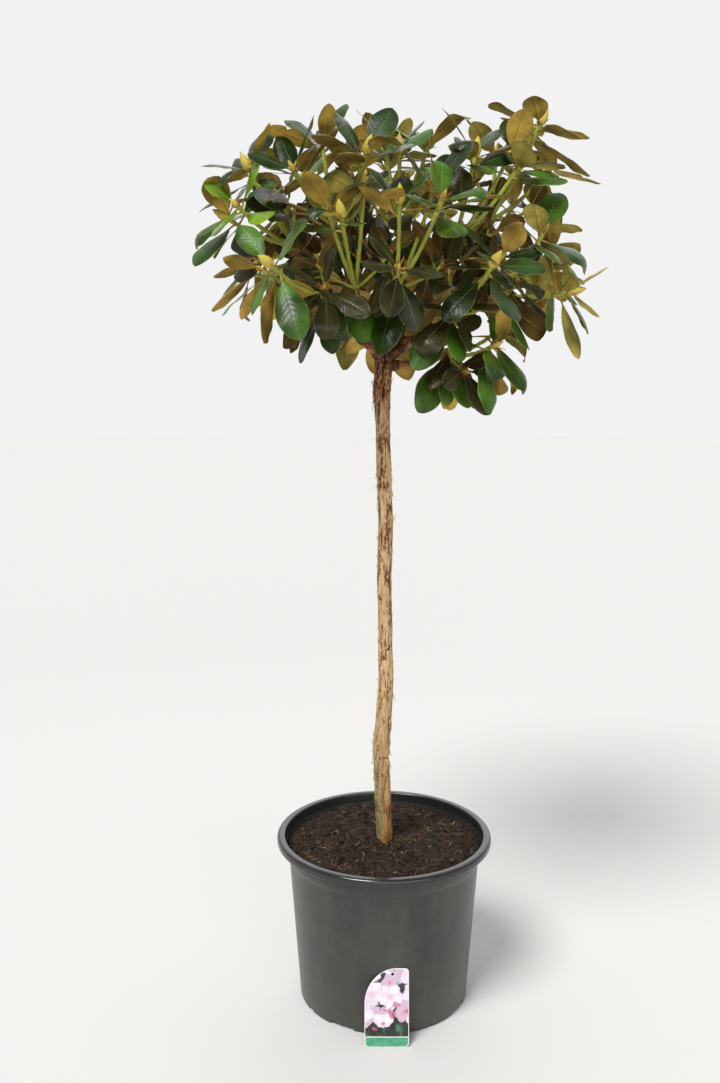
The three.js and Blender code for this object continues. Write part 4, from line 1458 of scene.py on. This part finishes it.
def scattered(base, faces, centres, sizes, chance, flat=1.0):
    """Copies of a small shape at each centre, each turned and roughened its own way, as (points, faces)."""
    count = len(centres)
    points = base[None] * chance.uniform(0.72, 1.25, (count, len(base), 1))
    least, most = (0.7, 0.6, 0.5 * flat), (1.3, 1.2, 0.95 * flat)
    points = points * (sizes[:, None, None] * chance.uniform(least, most, (count, 1, 3)))
    turns = chance.uniform(0, 2 * math.pi, (count, 3))
    turned_points = np.empty_like(points)
    for index, (lean, roll, spin) in enumerate(turns):
        turn = Matrix.Rotation(spin, 3, "Z") @ Matrix.Rotation(lean * 0.5, 3, "X")
        turn = turn @ Matrix.Rotation(roll * 0.5, 3, "Y")
        turned_points[index] = points[index] @ np.array(turn).T
    points = turned_points + centres[:, None]
    starts = (np.arange(count) * len(base))[:, None, None]
    return points.reshape(-1, 3), (faces[None] + starts).reshape(-1, faces.shape[1])


def pebble_shape(subdivisions):
    """A round pebble's points and triangles."""
    bm = bmesh.new()
    bmesh.ops.create_icosphere(bm, subdivisions=subdivisions, radius=1)
    points = np.array([vertex.co[:] for vertex in bm.verts])
    faces = np.array([[vertex.index for vertex in face.verts] for face in bm.faces])
    bm.free()
    return points, faces


def on_soil(count, chance, sink, inner=17.0):
    """Random places on the compost, clear of the stem and the pot's wall."""
    rim = POT["collar"] - POT["wall"] - 3
    radius = np.sqrt(chance.uniform((inner / rim) ** 2, 1, count)) * rim
    turn = chance.uniform(0, 2 * math.pi, count)
    x, y = radius * np.cos(turn), radius * np.sin(turn)
    heights = [soil_height(a, b) + sink for a, b in zip(x, y)]
    return np.stack((x, y, heights), 1)


SURFACE_RINGS, SURFACE_STEPS = 96, 260
BARK_CHIPS = 16
STRAW_STEPS, STRAW_SIDES = 9, 6
STRAW_LIFT = 0.9  # a straw's middle over the compost


class RHODODENDRON_OT_compost(bpy.types.Operator):
    """Compost in the pot: a clodded surface, crumbs of bark, grit, and straws and fibres lying on it"""

    bl_idname = "rhododendron.compost"
    bl_label = "Compost"

    def execute(self, context):
        settings = context.scene.rhododendron_soil
        chance = np.random.default_rng(SEED["compost"])
        self.add_surface(settings)
        self.add_crumbs(settings, chance)
        self.add_straws(settings, chance)
        return {"FINISHED"}

    def add_surface(self, settings):
        """The compost itself, which fills the pot up to its clodded surface."""
        wall, channel = POT["wall"] + GAP, POT["channel"] + POT["wall"] + GAP
        rim = POT["collar"] - wall
        below = [(0, wall), (POT["pad"] - wall, wall), (POT["pad"] - GAP, channel),
                 (POT["base"] - wall, channel), (POT["shoulder"] - wall, POT["shoulder_height"]),
                 (rim, POT["shoulder_height"] + 6)]
        above = [(radius, SOIL["level"]) for radius in np.linspace(rim, 0, SURFACE_RINGS)]
        bm = turned(below + above, SURFACE_STEPS)
        for vertex in bm.verts:
            if vertex.co.z > SOIL["level"] - 1:
                vertex.co.z = soil_height(vertex.co.x, vertex.co.y)
        mesh = mesh_from(bm, "compost")
        add_piece("compost", mesh, (self.earth("compost", settings.dark, settings.brown),), ("soil",))

    def add_crumbs(self, settings, chance):
        """Loose crumbs of compost and bark, a little grit, and the larger chips of red bark."""
        base, faces = pebble_shape(1)
        brown = settings.brown
        for name, count, low, high, dark, pale in (
            ("crumbs_dark", int(settings.crumbs * 0.7), 0.7, 5.5, darker(settings.dark, 0.7), brown),
            ("crumbs_brown", int(settings.crumbs * 0.27), 0.6, 4.6, darker(brown, 0.6), brown),
            ("crumbs_pale", int(settings.crumbs * 0.02), 0.5, 1.5, settings.pale, settings.grit),
            ("bark_chips", BARK_CHIPS, 3.0, 6.5, darker(settings.chip, 0.7), settings.chip),
        ):
            sizes = low + (high - low) * chance.random(count) ** 4
            points, tris = scattered(base, faces, on_soil(count, chance, 0.2), sizes, chance, 0.8)
            mesh = mesh_from_faces(name, points, tris, smooth_shade=False)
            add_piece(name, mesh, (self.earth(name, dark, pale),), ("soil",))

    def add_straws(self, settings, chance):
        """Short pale straws, and longer brown root fibres, lying on the compost."""
        for name, count, short, long, thin, thick, base in (
            ("straws", 46, 3, 11, 0.2, 0.5, settings.pale),
            ("fibres", 210, 8, 26, 0.16, 0.42, mixed(settings.brown, settings.pale, 0.25)),
        ):
            strands = []
            for spot in on_soil(count, chance, 1.3):
                turn = chance.uniform(0, 2 * math.pi)
                reach = chance.uniform(short, long)
                way = np.array((math.cos(turn), math.sin(turn), 0))
                bend = np.cross(way, UP) * chance.normal(0, 0.2) * reach
                if math.hypot(*spot[:2]) + reach * 0.6 > POT["collar"] - 8:
                    continue
                line = bezier((spot - way * reach / 2, spot + bend, spot + way * reach / 2), STRAW_STEPS)
                line[:, 2] = [soil_height(x, y) + STRAW_LIFT for x, y in line[:, :2]]
                radii = np.full(STRAW_STEPS, chance.uniform(thin, thick))
                strands.append(tube_arrays(line, radii, STRAW_SIDES))
            points, quads = joined(strands)
            mesh = mesh_from_faces(name, points, quads, sharp=60)
            finish = plain_green(f"{name}_fibre", base, 0.7, settings.brown)
            add_piece(name, mesh, (finish,), ("soil",))

    @staticmethod
    def earth(name, dark, pale):
        """Damp and dry compost, or the bark and grit in it: crumbly between two colours."""
        finish = Finish(name, Specular_IOR_Level=0.22)
        grain = finish.noise(170, 7, 0.8)
        damp = finish.noise(36, 4, 0.7)
        between = mixed(dark, pale, 0.5)
        colour = finish.ramp(grain, (0.3, darker(dark, 0.5)), (0.5, dark), (0.66, between), (0.8, pale))
        colour = finish.mix(finish.limit(damp, 0.45, 0.7) * 0.5, colour, darker(dark, 0.6))
        finish.set(Base_Color=colour, Roughness=0.82 + grain * 0.15)
        return finish.bump(grain, 1.6, 0.9).material


# ---------------------------------------------------------------- label

CORNER_STEPS, SWEEP_STEPS = 9, 28


def label_outline():
    """The label's outline, from its foot up: rounded corners, and one large quarter arc at the top left."""
    half, length, corner = LABEL["width"] / 2, LABEL["length"], LABEL["corner"]
    wide, tall = LABEL["sweep"]
    points = arc((half - corner, corner), corner, -90, 0, CORNER_STEPS)
    points += arc((half - corner, length - corner), corner, 0, 90, CORNER_STEPS)
    for turn in np.radians(np.linspace(90, 180, SWEEP_STEPS)):
        points.append((-half + wide + wide * math.cos(turn), length - tall + tall * math.sin(turn)))
    points += arc((corner - half, corner), corner, 180, 270, CORNER_STEPS)
    return points


# The printed film on the card: how far it stands out, its thickness, and the places of picture and band,
# which follow the card's outline above and below these heights.
PRINT = {
    "front": 0.04, "film": 0.08, "hole_margin": 0.9,
    "picture_width": 0.97, "picture_foot": 16, "picture_shrink": 0.988, "outline_above": 24,
    "band_width": 0.96, "band_top": 14.5, "band_lift": 0.8, "outline_below": 8,
}


def picture_outline(outline):
    """The picture: the card's outline drawn in a little, cut off level over the band."""
    across, foot = LABEL["width"] / 2 * PRINT["picture_width"], PRINT["picture_foot"]
    base = foot + 2
    inset = [(x * PRINT["picture_width"], base + (y - base) * PRINT["picture_shrink"])
             for x, y in outline if y > PRINT["outline_above"]]
    return [(-across, foot), (across, foot)] + inset


def band_outline(outline):
    """The strip along the foot, with the card's two lower corners."""
    across, top = LABEL["width"] / 2 * PRINT["band_width"], PRINT["band_top"]
    corners = [(x * PRINT["band_width"], y + PRINT["band_lift"])
               for x, y in outline if y < PRINT["outline_below"]]
    return [(across, top), (-across, top)] + corners[-CORNER_STEPS:] + corners[:CORNER_STEPS]


def label_hole(margin):
    """The hole near the label's top, or the bare ring that the print leaves round it."""
    hole = LABEL["hole"]
    centre = (LABEL["width"] / 2 - hole["from_right"], LABEL["length"] - hole["from_top"])
    return arc(centre, hole["radius"] + margin, 0, 345, 24)


def label_plate(outline, holes, front, thickness):
    """A flat plate in the label's own plane, from its outline and its holes."""
    bm = bmesh.new()
    edges = []
    for loop in (outline, *holes):
        verts = [bm.verts.new((x, y, front - thickness)) for x, y in loop]
        edges += [bm.edges.new(pair) for pair in zip(verts, verts[1:] + verts[:1])]
    filled = bmesh.ops.triangle_fill(bm, use_beauty=True, use_dissolve=False, edges=edges)
    faces = [item for item in filled["geom"] if isinstance(item, bmesh.types.BMFace)]
    bmesh.ops.recalc_face_normals(bm, faces=faces)
    if faces[0].normal.z > 0:
        bmesh.ops.reverse_faces(bm, faces=faces)
    walls = bmesh.ops.extrude_face_region(bm, geom=faces)
    raised = [item for item in walls["geom"] if isinstance(item, bmesh.types.BMVert)]
    bmesh.ops.translate(bm, vec=(0, 0, thickness), verts=raised)
    bmesh.ops.recalc_face_normals(bm, faces=bm.faces)
    return bm


class RHODODENDRON_OT_label(bpy.types.Operator):
    """The plant label against the pot: a card with a generic print of blossom over a plain strip"""

    bl_idname = "rhododendron.label"
    bl_label = "Label"

    def execute(self, context):
        settings = context.scene.rhododendron_label
        outline = label_outline()
        parts = [
            (label_plate(outline, [label_hole(0)], 0, LABEL["thickness"]), 0),
            (self.film(picture_outline(outline), [label_hole(PRINT["hole_margin"])]), 1),
            (self.film(band_outline(outline), []), 2),
        ]
        lean = self.lean()
        lift = GAP + LABEL["thickness"] * math.sin(lean)
        stand = Matrix.Translation((LABEL["offset"], -LABEL["foot"], lift))
        stand = stand @ Matrix.Rotation(math.pi / 2 - lean, 4, "X")
        whole = bmesh.new()
        for part, index in parts:
            for face in part.faces:
                face.material_index = index
            bmesh.ops.transform(part, matrix=stand, verts=part.verts)
            scratch = bpy.data.meshes.new("scratch")
            part.to_mesh(scratch)
            part.free()
            whole.from_mesh(scratch)
            bpy.data.meshes.remove(scratch)
        mesh = mesh_from(whole, "label_card", smooth_shade=False)
        finishes = (self.print_finish("print_card", settings.card), self.picture(settings),
                    self.print_finish("print_band", settings.band))
        add_piece("label_card", mesh, finishes, ("label",))
        return {"FINISHED"}

    @staticmethod
    def film(outline, holes):
        return label_plate(outline, holes, PRINT["front"], PRINT["film"])

    @staticmethod
    def lean():
        """How far the label leans back, from the depth of its solid's box."""
        low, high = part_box("label")
        return math.asin(((high.y - low.y) / MM - LABEL["thickness"]) / LABEL["length"])

    @staticmethod
    def print_finish(name, base):
        """Printed card under a clear film: a fine screen of ink and a soft shine."""
        finish = Finish(name, Specular_IOR_Level=0.5)
        ink = finish.noise(1500, 2)
        wash = finish.noise(120, 3)
        shade = finish.mix(finish.limit(wash, 0.3, 0.7), darker(base, 0.84), lighter(base, 0.12))
        finish.set(Base_Color=shade, Roughness=0.3 + ink * 0.1)
        return finish.bump(ink, 0.04, 0.3).material

    @staticmethod
    def picture(settings):
        """A generic mass of pale five-petalled blossom over dark leaves, printed small."""
        finish = Finish("print_picture", Specular_IOR_Level=0.5)
        side, _, up = finish.parts(finish.place())
        wash = finish.noise(70, 4, 0.6)
        soft = finish.noise(38, 3)
        leafage = (0.38, darker(settings.ground, 0.4)), (0.52, settings.ground), (0.66, settings.leaf)
        colour = finish.ramp(finish.noise(95, 3), *leafage)
        bare = finish.limit(up, 0.038, 0.024)
        for shift, size, shade in ((0.31, 26, settings.blush), (0.14, 38, settings.petal)):
            scale = 1 / (size * MM)
            flat = finish.node("ShaderNodeCombineXYZ", {}, {0: side * scale + shift + wash * 0.1,
                                                            1: up * scale + shift + soft * 0.2})
            cell = finish.node("ShaderNodeTexVoronoi", {"voronoi_dimensions": "2D"},
                               {"Vector": flat, "Scale": 1.0, "Randomness": 0.7}).socket.node.outputs
            away = finish.node("ShaderNodeVectorMath", {"operation": "SUBTRACT"},
                               {0: flat, 1: Field(finish, cell["Position"])})
            across, along, _ = finish.parts(away)
            turn = across.maths("ARCTAN2", along, across)
            lobes = finish.node("ShaderNodeMath", {"operation": "COSINE"}, {0: turn * 5 + shift * 9})
            distance = Field(finish, cell["Distance"]) + wash * 0.16 + bare * 0.6
            petal = finish.limit(distance - lobes * 0.05, 0.58, 0.53)
            throat = finish.limit(distance, 0.28, 0.1)
            fold = finish.limit(lobes + wash, 0.3, -0.6)
            body = finish.mix(finish.limit(soft, 0.38, 0.62), mixed(shade, settings.shadow, 0.55), shade)
            body = finish.mix(fold * 0.6, body, mixed(shade, settings.blush, 0.6))
            body = finish.mix(throat * 0.6, body, settings.throat)
            colour = finish.mix(petal, colour, body)
        buds = finish.limit(finish.noise(60, 1), 0.66, 0.7)
        colour = finish.mix(buds * 0.7, colour, settings.bud)
        finish.set(Base_Color=colour, Roughness=0.3 + wash * 0.1)
        return finish.material


# ---------------------------------------------------------------- stage

FLOOR_RADIUS = 9000
LAMPS = (  # name, azimuth, rise, spread and power
    ("key", 236, 54, 24, 2.9),
    ("fill", 285, 4, 60, 1.6),
    ("back", 82, 36, 50, 0.5),
)


class RHODODENDRON_OT_stage(bpy.types.Operator):
    """A plain pale floor, soft studio light and the camera"""

    bl_idname = "rhododendron.stage"
    bl_label = "Stage"

    def execute(self, context):
        settings = context.scene.rhododendron_stage
        bm = bmesh.new()
        bmesh.ops.create_circle(bm, cap_ends=True, segments=128, radius=FLOOR_RADIUS)
        floor = bpy.data.objects.new("floor", mesh_from(bm, "floor", smooth_shade=False))
        context.scene.collection.objects.link(floor)
        floor.data.materials.append(self.floor_finish(settings))
        self.light_world(context, settings)
        for lamp in LAMPS:
            self.add_light(context, *lamp)
        self.add_camera(context, settings)
        context.scene.view_settings.view_transform = "Standard"
        return {"FINISHED"}

    @staticmethod
    def floor_finish(settings):
        """Matt pale paint, a little darker away from the plant by painted shade."""
        finish = Finish("floor_paint", 1.0, Specular_IOR_Level=0.0)
        drift = finish.noise(1.7, 3)
        side, deep, _ = finish.parts(finish.place())
        # Painted shade: the floor darkens a little with distance from the plant.
        far = finish.limit(side * side + deep * deep, 0.1, 4)
        near_tone = finish.mix(drift, darker(settings.floor, 0.985), settings.floor)
        finish.set(Base_Color=finish.mix(far, near_tone, darker(settings.floor, 0.95)))
        return finish.material

    @staticmethod
    def light_world(context, settings):
        """A pale surround: it lights the plant from behind and the sides more than from the camera's side."""
        world = bpy.data.worlds.new("studio")
        world.use_nodes = True
        nodes, links = world.node_tree.nodes, world.node_tree.links
        background = nodes["Background"]
        background.inputs["Color"].default_value = (*settings.surround, 1)
        seen = nodes.new("ShaderNodeLightPath").outputs["Is Camera Ray"]
        strength = nodes.new("ShaderNodeMapRange")
        links.new(seen, strength.inputs["Value"])
        split = nodes.new("ShaderNodeSeparateXYZ")
        links.new(nodes.new("ShaderNodeTexCoord").outputs["Generated"], split.inputs[0])
        side = nodes.new("ShaderNodeMapRange")
        links.new(split.outputs["Y"], side.inputs["Value"])
        light = settings.surround_light
        reach = {"From Min": -0.3, "From Max": 0.8, "To Min": light * 0.35, "To Max": light}
        for socket, value in reach.items():
            side.inputs[socket].default_value = value
        links.new(side.outputs[0], strength.inputs["To Min"])
        strength.inputs["To Max"].default_value = settings.surround_power
        links.new(strength.outputs[0], background.inputs["Strength"])
        context.scene.world = world

    @staticmethod
    def add_light(context, name, azimuth, rise, spread, power):
        lamp = bpy.data.lights.new(name, "SUN")
        lamp.angle = math.radians(spread)
        lamp.energy = power
        light = bpy.data.objects.new(name, lamp)
        light.rotation_euler = Vector(direction(azimuth, rise)).to_track_quat("Z", "Y").to_euler()
        light.location = direction(azimuth, rise) * 3
        context.scene.collection.objects.link(light)

    @staticmethod
    def add_camera(context, settings):
        data = bpy.data.cameras.new("camera")
        data.sensor_fit = "VERTICAL"
        data.sensor_height = 36
        data.lens = settings.camera_lens
        camera = bpy.data.objects.new("camera", data)
        camera.location = (settings.camera_side, -settings.camera_distance, settings.camera_height)
        camera.rotation_euler = (math.pi / 2 - settings.camera_pitch, 0, 0)
        context.scene.collection.objects.link(camera)
        context.scene.camera = camera


# ---------------------------------------------------------------- add-on

PIECES = (
    RHODODENDRON_OT_stage, RHODODENDRON_OT_pot, RHODODENDRON_OT_compost, RHODODENDRON_OT_label,
    RHODODENDRON_OT_trunk, RHODODENDRON_OT_boughs, RHODODENDRON_OT_shoots, RHODODENDRON_OT_leaves,
    RHODODENDRON_OT_buds,
)
SETTINGS = {
    "rhododendron_crown": CrownSettings,
    "rhododendron_wood": WoodSettings,
    "rhododendron_pot": PotSettings,
    "rhododendron_soil": SoilSettings,
    "rhododendron_label": LabelSettings,
    "rhododendron_stage": StageSettings,
}


class RHODODENDRON_PT_panel(bpy.types.Panel):
    bl_idname = "RHODODENDRON_PT_panel"
    bl_label = "Rhododendron"
    bl_space_type = "VIEW_3D"
    bl_region_type = "UI"
    bl_category = "Rhododendron"

    def draw(self, context):
        for key, group in SETTINGS.items():
            box = self.layout.box()
            for name in group.__annotations__:
                box.prop(getattr(context.scene, key), name)
        for piece in PIECES:
            self.layout.operator(piece.bl_idname)


def register():
    for group in (*SETTINGS.values(), *PIECES, RHODODENDRON_PT_panel):
        bpy.utils.register_class(group)
    for key, group in SETTINGS.items():
        setattr(bpy.types.Scene, key, PointerProperty(type=group))


def unregister():
    for key in SETTINGS:
        delattr(bpy.types.Scene, key)
    for group in reversed((*SETTINGS.values(), *PIECES, RHODODENDRON_PT_panel)):
        bpy.utils.unregister_class(group)


def main():
    register()
    for piece in PIECES:
        area, name = piece.bl_idname.split(".")
        getattr(getattr(bpy.ops, area), name)()


if __name__ == "__main__":
    main()
